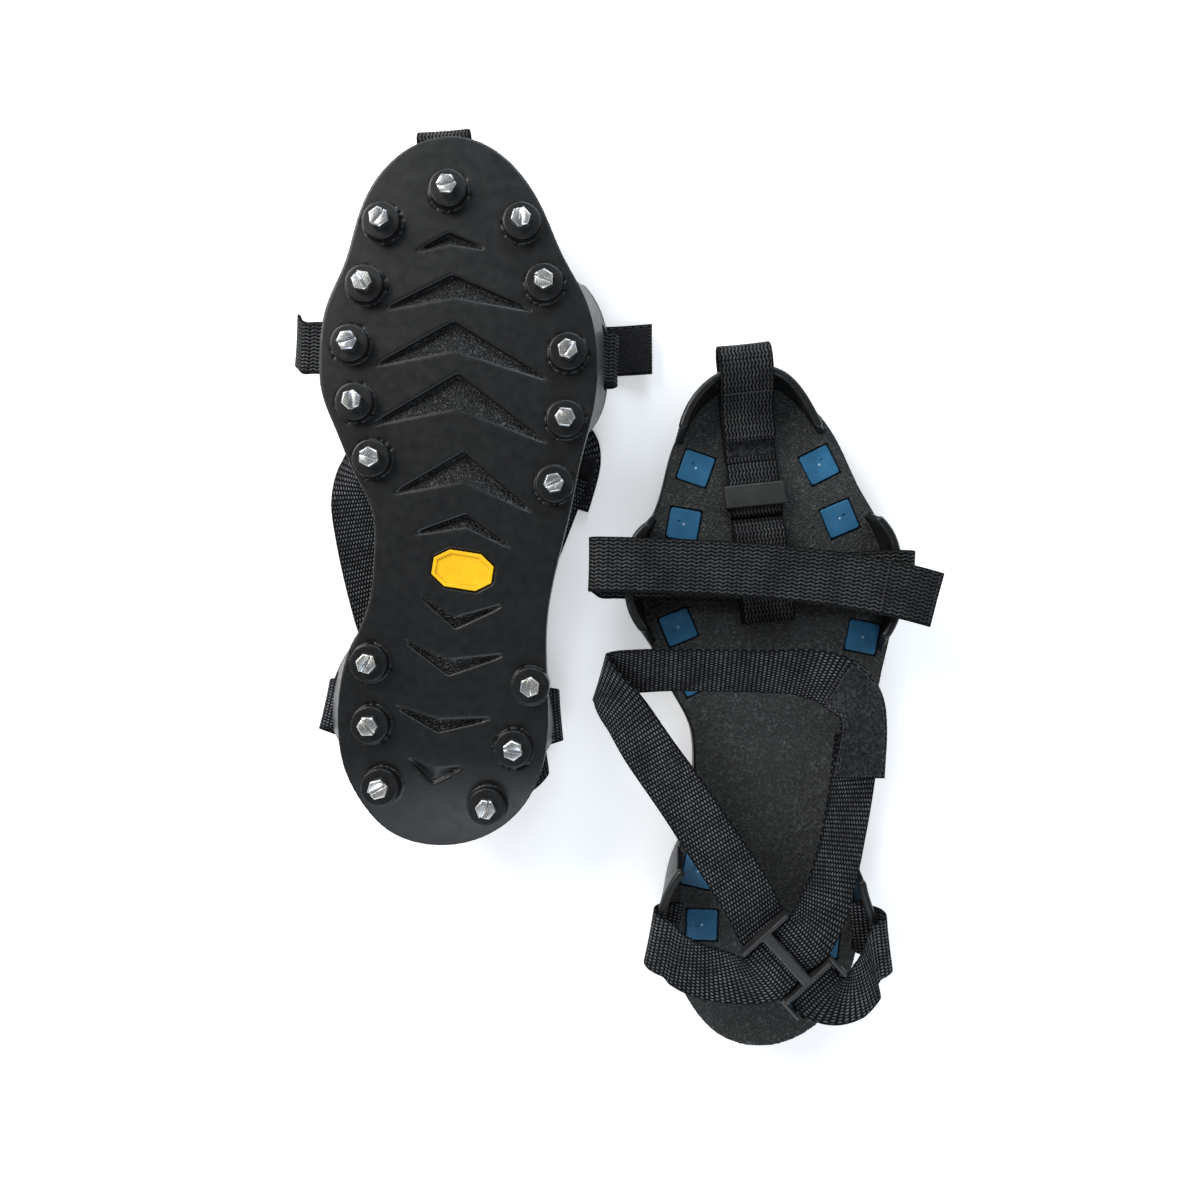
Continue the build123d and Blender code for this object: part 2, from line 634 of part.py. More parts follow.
def crossing_buckle(foot):
    """Right-angle slide: three bars for the medial strap and a fourth for the lateral strap."""
    centre = (4.8, -110.2, 0)
    bar_turn = -48.7
    rail_u = 14.4
    rail_thickness = 1.8
    bar_length = 2 * rail_u
    half_span = 12.6
    frame = Plane(origin=centre).rotated((0, 0, bar_turn))
    centre_bar = (0, 5.0, 49.5, 51.4)
    outer_bars = [(-11.0, 3.2, 44.7, 46.4), (11.0, 3.2, 44.7, 46.4)]
    with BuildPart(frame) as buckle:
        for v, width, bottom, top in [centre_bar, *outer_bars]:
            with BuildSketch(frame.offset(bottom)):
                with Locations((0, v)):
                    Rectangle(bar_length, width)
            extrude(amount=top - bottom)
        with BuildSketch(frame.offset(44.7)):
            with Locations((-rail_u, 0), (rail_u, 0)):
                Rectangle(rail_thickness, 2 * half_span + rail_thickness)
        extrude(amount=51.4 - 44.7)
        arm_reach = 10.0
        with BuildSketch(frame.offset(40.4)):
            with Locations((rail_u + arm_reach / 2, -14.6), (rail_u + arm_reach / 2, 14.6)):
                Rectangle(arm_reach + rail_thickness, rail_thickness)
        extrude(amount=7.2)
        with BuildSketch(frame.offset(44.7)):
            with Locations((rail_u, 0)):
                Rectangle(rail_thickness, 31)
        extrude(amount=2.9)
        with BuildSketch(frame.offset(40.4)):
            with Locations((rail_u + arm_reach - 0.6, 0)):
                Rectangle(3.0, 31)
        extrude(amount=1.6)
    return buckle.part


PIECES = {
    "outsole": outsole,
    "footbed": footbed,
    "cleat_screws": cleat_screws,
    "anchor_plates": anchor_plates,
    "badge": badge,
    "toe_strap": toe_strap,
    "toe_flap": toe_flap,
    "toe_loop_pad": toe_loop_pad,
    "toe_hook_pad": toe_hook_pad,
    "toe_keeper": toe_keeper,
    "instep_strap": instep_strap,
    "instep_flap": instep_flap,
    "instep_loop_pad": instep_loop_pad,
    "instep_hook_pad": instep_hook_pad,
    "ankle_anchor_medial": ankle_anchor_medial,
    "ankle_anchor_lateral": ankle_anchor_lateral,
    "ankle_strap_medial": ankle_strap_medial,
    "ankle_strap_lateral": ankle_strap_lateral,
    "ankle_closure": ankle_closure,
    "closure_pad": closure_pad,
    "closure_hook_pad": closure_hook_pad,
    "crossing_buckle": crossing_buckle,
}


def stand_right(part):
    """The right foot stands on its cleats."""
    x, y, turn = RIGHT_PLACE
    return part.moved(Location((x, y, 0), (0, 0, turn)))


def lay_left(part):
    """The left foot is the mirror image through the ground, lifted onto its straps, sole up."""
    x, y, turn = LEFT_PLACE
    return part.mirror(Plane.XY).moved(Location((x, y, LEFT_HEIGHT), (0, 0, turn)))


for foot, placed in ((RIGHT, stand_right), (LEFT, lay_left)):
    for piece, build in PIECES.items():
        node = f"{foot.name}_{piece}"
        solid = placed(build(foot))
        solid.label = node
        export_step(solid, f"parts/{node}.step")
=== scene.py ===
"""Pair of strap-on ice cleats: rubber soles, webbing straps, pads and small hardware on the CAD frame."""
import copy
import math
import random

import bmesh
import bpy
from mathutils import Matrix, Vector
from mathutils import noise as vnoise


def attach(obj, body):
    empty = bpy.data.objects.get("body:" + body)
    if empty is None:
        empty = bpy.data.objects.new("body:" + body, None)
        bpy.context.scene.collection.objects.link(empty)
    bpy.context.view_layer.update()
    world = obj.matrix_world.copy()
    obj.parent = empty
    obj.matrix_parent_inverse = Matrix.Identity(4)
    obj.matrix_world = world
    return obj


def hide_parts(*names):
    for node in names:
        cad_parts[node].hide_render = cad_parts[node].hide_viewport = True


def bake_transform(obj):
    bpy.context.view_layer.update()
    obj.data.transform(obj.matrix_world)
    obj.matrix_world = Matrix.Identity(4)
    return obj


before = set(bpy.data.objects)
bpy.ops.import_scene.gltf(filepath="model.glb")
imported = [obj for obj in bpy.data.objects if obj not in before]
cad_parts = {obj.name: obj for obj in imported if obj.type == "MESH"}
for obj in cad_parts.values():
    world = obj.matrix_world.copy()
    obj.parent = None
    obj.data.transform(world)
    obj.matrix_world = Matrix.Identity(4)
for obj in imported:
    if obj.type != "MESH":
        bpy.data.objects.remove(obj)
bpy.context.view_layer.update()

# ---- sizes, millimetres in the foot frame, as the CAD model has them ----
MM = 0.001
RIGHT_PLACE = (75.8, -55.2, 0.7)
LEFT_PLACE = (-70.2, 46.1, -1.0)
LEFT_HEIGHT = 59.4
STRAP_WIDTH = 25.0
STRAP_THICKNESS = 1.5
TOE_ORIGIN = (3.8, 39.2)
TOE_LEAN = math.radians(5.3)
SOLE_Z = 8.5

# ---- sizes of the detail that only the visual model has, millimetres ----
PAD_WIDTH = 21.0
ROW_STEP = 1.0
SOLE_VOXEL = 0.6
BUCKLE_VOXEL = 0.3
KEEPER_BEVEL = 0.4
HEAD_BEVEL = 0.16
THREAD_RADIUS = 0.28
STITCH_PITCH = 2.6
HEM_HALF = 11.0
HEM_FOLD = 24.0
MAT_STEP = 0.9
RAGGED = 0.35
TAPE_THICKNESS = 0.35
LOOP_RADIUS = 0.07
HOOK_RADIUS = 0.1
HOOK_PITCH = 1.25
DOT_RADIUS = 0.62
GRAIN_HEEL_Y = -119.5

# ---- camera, floor and tolerances, metres ----
CAMERA_PLACE = (-0.0018, -0.00425, 0.44)
CAMERA_LENS = 26.07
FLOOR_REACH = 3.0
FLOOR_Z = -0.0003
SAME_PLACE = 1e-6

# ---- routes of the ankle straps at the buckle, the same on both feet ----
BUCKLE_MEDIAL = [
    ((-6.1, -119.8, 47.8), (-0.66, 0.751, 0)), ((0.2, -114.3, 47.8), (-0.66, 0.751, 0)),
    ((3.9, -111, 46.3), (-0.66, 0.751, 0)), ((7.6, -107.8, 46.3), (-0.66, 0.751, 0)),
    ((11, -104.8, 47.8), (-0.66, 0.751, 0)), ((15.7, -100.6, 47.8), (-0.66, 0.751, 0)),
]
BUCKLE_LATERAL = [
    ((22, -129.7, 43.4), (-0.751, -0.66, 0)), ((12, -118.5, 43.4), (-0.751, -0.66, 0)),
    ((3.5, -108.7, 43.4), (-0.751, -0.66, 0)),
]


class Foot:
    """What differs between the two feet, because the soft parts lie differently."""

    def __init__(self, name, wing_lean, heel_leans, instep, flap_line, medial_run, lateral_run, closure_run,
                 medial_turns, lateral_turns, fold_turns, fold_span):
        self.name = name
        self.wing_lean = wing_lean
        self.medial_lean, self.lateral_lean = heel_leans
        self.instep_y, self.instep_slope = instep
        self.flap_line = flap_line
        self.medial_run = medial_run
        self.lateral_run = lateral_run
        self.closure_run = closure_run
        self.medial_turns = medial_turns
        self.lateral_turns = lateral_turns
        self.fold_turns = fold_turns
        self.fold_span = fold_span

    def place(self, point):
        """A foot-frame point in millimetres as a point of the row frame in metres."""
        x, y, z = point
        if self.name == "left":
            z = -z
        px, py, turn = RIGHT_PLACE if self.name == "right" else LEFT_PLACE
        c, s = math.cos(math.radians(turn)), math.sin(math.radians(turn))
        lift = 0 if self.name == "right" else LEFT_HEIGHT
        return Vector((x * c - y * s + px, x * s + y * c + py, z + lift)) * MM

    def body(self, name):
        """Name of this foot's body or CAD node."""
        return f"{self.name}_{name}"


RIGHT = Foot(
    name="right",
    wing_lean=-5.0,
    heel_leans=(4.0, -3.0),
    instep=(62.5, -0.035),
    flap_line=[
        (-80.5, 68.2, 41.2), (-81.4, 68.2, 43.4), (-79.8, 68.2, 45.8), (-76, 68.1, 47.2),
        (-63, 67.6, 47.6), (-35, 66.3, 46.5), (0, 63.8, 45.8), (30, 60, 47.4), (52, 55.8, 50.4),
        (62, 53.3, 51.4), (69, 51.4, 51), (74, 50, 50.3),
    ],
    medial_run=[
        ((-45, -110, 47.8), (0.2, 0.98, 0)), ((-39, -114, 47.3), (0.12, 0.99, 0)),
        ((-30, -117.5, 47), (0, 1, 0)), ((-18, -119.5, 47.4), (-0.25, 0.97, 0)), *BUCKLE_MEDIAL,
        ((21, -89, 49.8), (-0.88, 0.45, 0.15)), ((25.5, -74, 52), (-0.9, 0.23, 0.32)),
        ((30, -55, 52.8), (-0.89, 0.19, 0.4)), ((34, -32, 53.6), (-0.91, 0.05, 0.4)),
        ((36, -15, 53.8), (-0.92, -0.1, 0.36)), ((37, -6, 53.8), (-0.92, -0.15, 0.34)),
    ],
    lateral_run=[
        ((44.5, -112, 47.6), (0.15, -0.98, 0)), ((44, -119, 46.4), (0.35, -0.93, -0.1)),
        ((38.5, -127.5, 44.6), (0.2, -0.98, -0.05)), ((30.5, -131.5, 43.6), (-0.3, -0.95, 0)),
        *BUCKLE_LATERAL, ((-5, -97.5, 43.7), (-0.8, -0.6, 0)),
        ((-14, -80, 45.5), (-0.84, -0.54, -0.05)), ((-33, -50, 47.5), (-0.82, -0.55, -0.2)),
        ((-41.5, -37, 48), (-0.81, -0.54, -0.25)), ((-56, -16, 48.8), (-0.8, -0.5, -0.35)),
        ((-66, 0, 49.5), (-0.62, -0.66, -0.45)), ((-73, 9, 50.5), (-0.42, -0.8, -0.5)),
        ((-76.6, 15.5, 50), (-0.28, -0.85, -0.5)), ((-77.2, 17, 48.3), (-0.25, -0.86, -0.5)),
        ((-75, 18, 47), (-0.2, -0.87, -0.5)),
    ],
    closure_run=[
        ((-66, 19, 47.5), (-0.05, -0.85, -0.55)), ((-45, 20, 50), (0, -0.8, -0.6)),
        ((-5, 19, 50.4), (0, -0.8, -0.6)), ((12, 18.5, 51.4), (-0.1, -0.85, -0.5)),
        ((26, 15, 54), (-0.4, -0.85, -0.3)), ((36.5, 6, 56.2), (-0.75, -0.55, 0.3)),
        ((38.5, -6, 56.8), (-0.93, -0.12, 0.35)), ((36, -28, 56.3), (-0.97, 0.05, 0.15)),
    ],
    medial_turns=((-46.5, -110, 47), (-31, -112, 47)),
    lateral_turns=((48.5, -116, 46), (33, -118, 45)),
    fold_turns=((-60, -9, 50), (-60, 9.5, 50)),
    fold_span=(-17, -50),
)
LEFT = Foot(
    name="left",
    wing_lean=4.0,
    heel_leans=(-3.0, -5.0),
    instep=(68.5, -0.02),
    flap_line=[
        (-79.5, 74.4, 41.2), (-80.8, 74.4, 46), (-79.8, 74.5, 52), (-75, 74.6, 56.4),
        (-66, 74.8, 57.6), (-35, 75, 57.8), (0, 75.2, 57.8), (40, 75.6, 57.8), (68, 76, 57.6),
        (80, 76.2, 56), (93, 76.5, 53),
    ],
    medial_run=[
        ((-53, -112, 47.8), (0.1, 0.99, 0)), ((-47, -119, 47.3), (0.1, 0.99, 0)),
        ((-36, -123.5, 47), (0, 1, 0)), ((-20, -123.5, 47.4), (-0.25, 0.97, 0)), *BUCKLE_MEDIAL,
        ((20, -89, 49.8), (-0.9, 0.44, 0)), ((23.5, -74, 52), (-0.98, 0.2, 0)),
        ((27, -57, 52.8), (-0.97, 0.22, 0)), ((32, -38, 53.6), (-0.95, 0.3, 0)),
        ((41, -13, 53.8), (-0.94, 0.33, 0)), ((51, 14, 53.8), (-0.94, 0.33, 0)),
    ],
    lateral_run=[
        ((42.5, -113, 47.6), (0.1, -0.99, 0)), ((42, -123, 46.4), (0.3, -0.95, -0.1)),
        ((36, -131, 44.6), (0.1, -0.99, -0.05)), ((29, -133, 43.6), (-0.4, -0.9, 0)),
        *BUCKLE_LATERAL, ((-5, -97.5, 43.7), (-0.78, -0.62, 0)), ((-22, -82, 45.5), (-0.75, -0.66, 0)),
        ((-36, -66, 47), (-0.86, -0.5, 0)), ((-43, -46, 48), (-0.95, -0.3, 0)),
        ((-49, -22, 48.8), (-0.98, -0.2, 0)), ((-52.5, -3, 49.2), (-0.99, -0.1, 0.1)),
    ],
    closure_run=[
        ((-52, 13, 50.6), (-0.75, 0.45, 0.5)), ((-46, 19, 53.5), (-0.12, 0.9, 0.1)),
        ((-30, 24, 56), (0, 0.9, 0.1)), ((0, 30, 56), (-0.1, 0.9, 0.1)), ((25, 35, 57), (0, 0.9, 0)),
        ((42, 36, 57), (0.35, 0.9, 0)), ((54, 29, 57), (0.75, 0.66, 0)), ((56, 18, 57), (0.95, 0.1, 0)),
        ((50.5, -2, 57), (0.95, -0.25, 0)),
    ],
    medial_turns=((-54, -110, 47), (-37, -112, 47)),
    lateral_turns=((47.5, -116, 46), (31, -118, 45)),
    fold_turns=((-55, -6, 50), (-55, 10, 50)),
    fold_span=(-10, -40),
)


# ---- materials ----
class Paint:
    """Short way to write a material's node tree."""

    def __init__(self, name, **constants):
        self.material = bpy.data.materials.new(name)
        self.material.use_nodes = True
        self.tree = self.material.node_tree
        self.shader = self.tree.nodes["Principled BSDF"]
        self.set(**constants)

    def set(self, **constants):
        for key, value in constants.items():
            self.feed(self.shader.inputs[key.replace("_", " ")], value)

    def feed(self, socket, value):
        if isinstance(value, bpy.types.NodeSocket):
            self.tree.links.new(value, socket)
        else:
            socket.default_value = value

    def node(self, kind, output=0, **inputs):
        node = self.tree.nodes.new(kind)
        for key, value in inputs.items():
            self.feed(node.inputs[key.replace("_", " ")], value)
        return node.outputs[output]

    def math(self, operation, *values):
        node = self.tree.nodes.new("ShaderNodeMath")
        node.operation = operation
        for socket, value in zip(node.inputs, values):
            self.feed(socket, value)
        return node.outputs[0]

    def ramp(self, value, low, high, start=0.0, end=1.0):
        node = self.tree.nodes.new("ShaderNodeMapRange")
        node.interpolation_type = "SMOOTHSTEP"
        for socket, number in zip(node.inputs[:5], (value, low, high, start, end)):
            self.feed(socket, number)
        return node.outputs[0]

    def mix(self, factor, low, high):
        node = self.tree.nodes.new("ShaderNodeMix")
        node.data_type = "RGBA"
        self.feed(node.inputs["Factor"], factor)
        self.feed(node.inputs["A"], (*low, 1) if isinstance(low, tuple) else low)
        self.feed(node.inputs["B"], (*high, 1) if isinstance(high, tuple) else high)
        return node.outputs["Result"]

    def coordinates(self):
        return self.tree.nodes.new("ShaderNodeTexCoord").outputs["Object"]

    def noise(self, scale, detail=2.0, distortion=0.0, vector=None):
        vector = vector or self.coordinates()
        return self.node("ShaderNodeTexNoise", 0, Vector=vector, Scale=scale, Detail=detail,
                         Distortion=distortion)

    def bump(self, height, distance, strength=1.0, normal=None):
        node = self.tree.nodes.new("ShaderNodeBump")
        self.feed(node.inputs["Height"], height)
        node.inputs["Distance"].default_value = distance
        node.inputs["Strength"].default_value = strength
        if normal is not None:
            self.feed(node.inputs["Normal"], normal)
        return node.outputs["Normal"]


def rounding(paint, radius):
    """Shading normal that rounds sharp edges."""
    node = paint.tree.nodes.new("ShaderNodeBevel")
    node.samples = 4
    node.inputs["Radius"].default_value = radius
    return node.outputs[0]


def rubber_paint(foot):
    """Satin moulded rubber, with leather grain on the sloping floors of the tread pockets."""
    paint = Paint(f"rubber_{foot.name}")
    facing = -1.0 if foot.name == "right" else 1.0
    sole_z = foot.place((0, 0, SOLE_Z)).z
    heel_y = foot.place((0, GRAIN_HEEL_Y, 0)).y
    mottle = paint.ramp(paint.noise(60, 4), 0.35, 0.7)
    paint.set(Base_Color=paint.mix(mottle, (0.0045, 0.0048, 0.0052), (0.0062, 0.0065, 0.0068)))
    paint.set(Roughness=paint.ramp(paint.noise(240, 3), 0.2, 0.8, 0.34, 0.44))
    paint.shader.inputs["Specular IOR Level"].default_value = 0.34
    coordinates = paint.tree.nodes.new("ShaderNodeTexCoord")
    height = paint.node("ShaderNodeSeparateXYZ", 2, Vector=coordinates.outputs["Object"])
    tilt = paint.node("ShaderNodeSeparateXYZ", 2, Vector=coordinates.outputs["Normal"])
    length = paint.node("ShaderNodeSeparateXYZ", 1, Vector=coordinates.outputs["Object"])
    depth = paint.math("MULTIPLY", paint.math("SUBTRACT", sole_z, height), facing)
    inside = paint.math("MULTIPLY", paint.ramp(depth, 0.0003, 0.0007), paint.ramp(depth, 0.0034, 0.003))
    faces_out = paint.ramp(paint.math("MULTIPLY", tilt, facing), 0.5, 0.75)
    ahead = paint.ramp(length, heel_y, heel_y + 0.004)
    mask = paint.math("MULTIPLY", paint.math("MULTIPLY", inside, faces_out), ahead)
    grain = paint.math("MULTIPLY", paint.ramp(paint.noise(560, 2, 1.2), 0.34, 0.66), mask)
    fine = paint.bump(paint.noise(1500, 2), 0.00003, 0.5)
    paint.set(Normal=paint.bump(grain, 0.0009, 1.0, fine))
    return paint.material


def footbed_paint(name):
    """Black sheet with a fine crackled grain, its raised grain painted lighter as a highlight, more so in
    random patches.
    """
    paint = Paint(name)
    grain = paint.ramp(paint.noise(560, 3, 1.6), 0.36, 0.66)
    patches = paint.ramp(paint.noise(22, 3), 0.3, 0.75)
    # painted highlight: the colour follows the grain's height, lighter on the raised tops, stronger in random
    # patches
    grain_highlight = paint.math("MULTIPLY", grain, paint.math("ADD", 0.45, paint.math("MULTIPLY", patches, 0.55)))
    paint.set(Base_Color=paint.mix(grain_highlight, (0.024, 0.0252, 0.025), (0.078, 0.081, 0.08)))
    paint.set(Roughness=paint.ramp(grain, 0, 1, 0.72, 0.55))
    paint.shader.inputs["Specular IOR Level"].default_value = 0.35
    fine = paint.bump(paint.noise(2400, 2), 0.00004, 0.5)
    paint.set(Normal=paint.bump(grain, 0.0011, 1.0, fine))
    return paint.material


def zinc_paint(name):
    """Bright zinc plate with faint blue and straw patches and small scratches."""
    paint = Paint(name, Metallic=1.0)
    patch = paint.ramp(paint.noise(160, 3), 0.35, 0.65)
    paint.set(Base_Color=paint.mix(patch, (0.4, 0.42, 0.45), (0.62, 0.61, 0.57)))
    scratches = paint.noise(900, 4, 3.0)
    paint.set(Roughness=paint.ramp(scratches, 0.3, 0.75, 0.22, 0.46))
    paint.set(Normal=paint.bump(scratches, 0.00006, 0.6, rounding(paint, 0.0004)))
    return paint.material


def anchor_paint(name):
    """Blue moulded plastic, a little scuffed."""
    paint = Paint(name)
    cloud = paint.ramp(paint.noise(130, 4), 0.3, 0.75)
    paint.set(Base_Color=paint.mix(cloud, (0.015, 0.1, 0.2), (0.027, 0.135, 0.26)))
    paint.set(Roughness=paint.ramp(paint.noise(700, 3), 0.25, 0.75, 0.34, 0.52))
    paint.shader.inputs["Specular IOR Level"].default_value = 0.4
    paint.set(Normal=paint.bump(paint.noise(1600, 3), 0.00003, 0.5, rounding(paint, 0.0005)))
    return paint.material


def plain_paint(name, low, high, roughness):
    """Moulded plastic with a faint mottle and mould texture."""
    paint = Paint(name)
    paint.set(Base_Color=paint.mix(paint.ramp(paint.noise(90, 3), 0.3, 0.7), low, high))
    paint.set(Roughness=paint.ramp(paint.noise(500, 3), 0.25, 0.75, roughness - 0.06, roughness + 0.08))
    paint.shader.inputs["Specular IOR Level"].default_value = 0.4
    paint.set(Normal=paint.bump(paint.noise(1200, 3), 0.00004, 0.6, rounding(paint, 0.0004)))
    return paint.material


def webbing_paint(name, row, column, herringbone, bright):
    """Woven webbing: yarn floats in rows across the band, as dots or joined up as a herringbone; the raised
    yarns carry a painted highlight, which painted shade dims along both edges.
    """
    paint = Paint(name)
    place = paint.tree.nodes.new("ShaderNodeAttribute")
    place.attribute_name = "strap"
    split = paint.tree.nodes.new("ShaderNodeSeparateXYZ")
    paint.feed(split.inputs[0], place.outputs["Vector"])
    along, across = split.outputs[0], split.outputs[1]
    rows = paint.math("DIVIDE", along, row)
    row_index = paint.math("FLOOR", rows)
    in_row = paint.math("FRACT", rows)
    odd = paint.math("FLOORED_MODULO", row_index, 2.0)
    columns = paint.math("ADD", paint.math("DIVIDE", across, column), paint.math("MULTIPLY", odd, 0.5))
    if herringbone:
        lean = paint.math("SUBTRACT", odd, 0.5)
        columns = paint.math("ADD", columns, paint.math("MULTIPLY", in_row, lean))
    column_index = paint.math("FLOOR", columns)
    in_column = paint.math("FRACT", columns)
    arch_row = paint.math("POWER", paint.math("SINE", paint.math("MULTIPLY", in_row, math.pi)), 0.7)
    arch_column = paint.math("SINE", paint.math("MULTIPLY", in_column, math.pi))
    if herringbone:
        arch_row = paint.math("ADD", 0.62, paint.math("MULTIPLY", arch_row, 0.38))
    height = paint.math("MULTIPLY", arch_row, arch_column)
    random_cell = paint.tree.nodes.new("ShaderNodeTexWhiteNoise")
    random_cell.noise_dimensions = "2D"
    cell = paint.node("ShaderNodeCombineXYZ", 0, X=row_index, Y=column_index)
    paint.feed(random_cell.inputs["Vector"], cell)
    spread = 0.3 if herringbone else 0.5
    yarn = paint.math("ADD", 1 - spread, paint.math("MULTIPLY", random_cell.outputs["Value"], spread))
    patches = paint.ramp(paint.noise(70, 3), 0.3, 0.7, 0.55, 1.0)
    # painted highlight: the raised tops of the yarn floats get the light colour, varied per yarn and in
    # random patches
    glint = paint.math("MULTIPLY", paint.ramp(height, 0.35, 0.9), paint.math("MULTIPLY", yarn, patches))
    # painted shade: the painted highlight fades towards both edges of the band
    selvedge = paint.ramp(paint.math("ABSOLUTE", across), 11.3, 11.9)
    shade = paint.math("SUBTRACT", 1.0, paint.math("MULTIPLY", selvedge, 0.75))
    glint = paint.math("MULTIPLY", glint, shade)
    # the light colour here is the painted highlight, the dark one the webbing's own colour
    paint.set(Base_Color=paint.mix(glint, (0.0035, 0.0037, 0.0042), bright))
    paint.set(Roughness=paint.ramp(glint, 0, 1, 0.78, 0.5))
    paint.feed(paint.shader.inputs["Specular IOR Level"], paint.ramp(glint, 0, 1, 0.06, 0.4))
    fibres = paint.bump(paint.noise(2600, 2), 0.00006, 0.6)
    paint.set(Normal=paint.bump(height, 0.0006, 1.0, fibres))
    return paint.material


def fuzz_paint(name, low, high):
    """Loop pile or hook tape."""
    paint = Paint(name)
    paint.set(Base_Color=paint.mix(paint.ramp(paint.noise(900, 4, 1.0), 0.4, 0.7), low, high))
    paint.set(Roughness=paint.ramp(paint.noise(300, 2), 0.3, 0.7, 0.8, 0.95))
    paint.shader.inputs["Specular IOR Level"].default_value = 0.15
    paint.shader.inputs["Sheen Weight"].default_value = 0.12
    paint.set(Normal=paint.bump(paint.noise(1400, 4, 2.0), 0.0004, 0.9))
    return paint.material


# colours of the painted highlight on the raised yarns of the webbing
DOT_HIGHLIGHT = (0.13, 0.136, 0.146)
ZIGZAG_HIGHLIGHT = (0.04, 0.042, 0.043)
FOOTBED = footbed_paint("footbed_grain")
ZINC = zinc_paint("zinc_plate")
ANCHOR = anchor_paint("anchor_blue")
BADGE = plain_paint("badge_yellow", (0.8, 0.42, 0.003), (0.9, 0.5, 0.005), 0.42)
PLASTIC = plain_paint("black_plastic", (0.012, 0.0122, 0.0125), (0.02, 0.0202, 0.021), 0.36)
KEEPER = plain_paint("grey_plastic", (0.02, 0.021, 0.0205), (0.028, 0.029, 0.028), 0.45)
PALE_DOT = plain_paint("pale_dot", (0.3, 0.46, 0.58), (0.38, 0.52, 0.62), 0.4)
THREAD = fuzz_paint("thread", (0.02, 0.02, 0.022), (0.05, 0.05, 0.054))
PILE = fuzz_paint("loop_pile", (0.006, 0.0062, 0.007), (0.05, 0.053, 0.06))
HOOK = fuzz_paint("hook_tape", (0.005, 0.005, 0.0055), (0.016, 0.016, 0.018))
TOE_WEAVE = webbing_paint("webbing_toe", 2.1, 1.7, True, ZIGZAG_HIGHLIGHT)
INSTEP_WEAVE = webbing_paint("webbing_instep", 2.1, 1.7, True, ZIGZAG_HIGHLIGHT)
ANKLE_WEAVE = webbing_paint("webbing_ankle", 2.0, 1.45, False, DOT_HIGHLIGHT)


# ---- mesh helpers ----
def new_piece(name, mesh, material):
    """Visual piece with one material, in a material slot of the record."""
    piece = bpy.data.objects.new(name, mesh)
    bpy.context.scene.collection.objects.link(piece)
    mesh.materials.clear()
    mesh.materials.append(material)
    return piece


def mesh_from(name, vertices, faces, strap=None):
    """Closed mesh with outward faces; strap holds (along, across) in millimetres for each vertex."""
    mesh = bpy.data.meshes.new(name)
    mesh.from_pydata(vertices, [], faces)
    if strap:
        layer = mesh.attributes.new("strap", "FLOAT_VECTOR", "POINT")
        layer.data.foreach_set("vector", [value for row in strap for value in (*row, 0.0)])
    work = bmesh.new()
    work.from_mesh(mesh)
    bmesh.ops.recalc_face_normals(work, faces=work.faces)
    work.to_mesh(mesh)
    work.free()
    mesh.shade_smooth()
    return mesh


def skin(rings, count, shift=0):
    """Faces of a closed tube: quads between rings of count points each, and a cap at both ends."""
    faces = []
    for ring in range(rings - 1):
        a, b = shift + ring * count, shift + (ring + 1) * count
        for i in range(count):
            j = (i + 1) % count
            faces.append((a + i, a + j, b + j, b + i))
    last = shift + (rings - 1) * count
    faces.append(tuple(range(shift, shift + count)))
    faces.append(tuple(range(last + count - 1, last - 1, -1)))
    return faces


def evaluated(piece):
    """The piece's mesh with its modifiers applied."""
    depsgraph = bpy.context.evaluated_depsgraph_get()
    mesh = bpy.data.meshes.new_from_object(piece.evaluated_get(depsgraph))
    piece.modifiers.clear()
    piece.data = mesh
    return piece


def cad_copy(node, name, material):
    """Visual piece that starts as a copy of a CAD node, with its seams merged."""
    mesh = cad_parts[node].data.copy()
    work = bmesh.new()
    work.from_mesh(mesh)
    bmesh.ops.remove_doubles(work, verts=work.verts, dist=SAME_PLACE)
    work.to_mesh(mesh)
    work.free()
    return new_piece(name, mesh, material)


def moulded(node, name, material, voxel, passes):
    """A CAD piece as one moulding with all its edges softened."""
    piece = cad_copy(node, name, material)
    remesh = piece.modifiers.new("remesh", "REMESH")
    remesh.mode = "VOXEL"
    remesh.voxel_size = voxel
    remesh.use_smooth_shade = True
    smooth = piece.modifiers.new("smooth", "SMOOTH")
    smooth.factor = 0.5
    smooth.iterations = passes
    return evaluated(piece)


def bevelled(node, name, material, width):
    """A CAD piece with its sharp edges rounded."""
    piece = cad_copy(node, name, material)
    work = bmesh.new()
    work.from_mesh(piece.data)
    bmesh.ops.dissolve_limit(work, angle_limit=math.radians(2), verts=work.verts, edges=work.edges)
    work.to_mesh(piece.data)
    work.free()
    bevel = piece.modifiers.new("bevel", "BEVEL")
    bevel.width = width
    bevel.segments = 3
    bevel.limit_method = "ANGLE"
    bevel.angle_limit = math.radians(40)
    evaluated(piece)
    piece.data.shade_smooth()
    return piece


def parts_of(node):
    """Corners (low, high) of each separate solid in a CAD node."""
    work = bmesh.new()
    work.from_mesh(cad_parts[node].data)
    bmesh.ops.remove_doubles(work, verts=work.verts, dist=SAME_PLACE)
    seen = set()
    boxes = []
    for start in work.verts:
        if start in seen:
            continue
        seen.add(start)
        stack = [start]
        group = []
        while stack:
            vertex = stack.pop()
            group.append(vertex.co.copy())
            for edge in vertex.link_edges:
                other = edge.other_vert(vertex)
                if other not in seen:
                    seen.add(other)
                    stack.append(other)
        low = Vector(min(co[i] for co in group) for i in range(3))
        high = Vector(max(co[i] for co in group) for i in range(3))
        boxes.append((low, high))
    work.free()
    return boxes


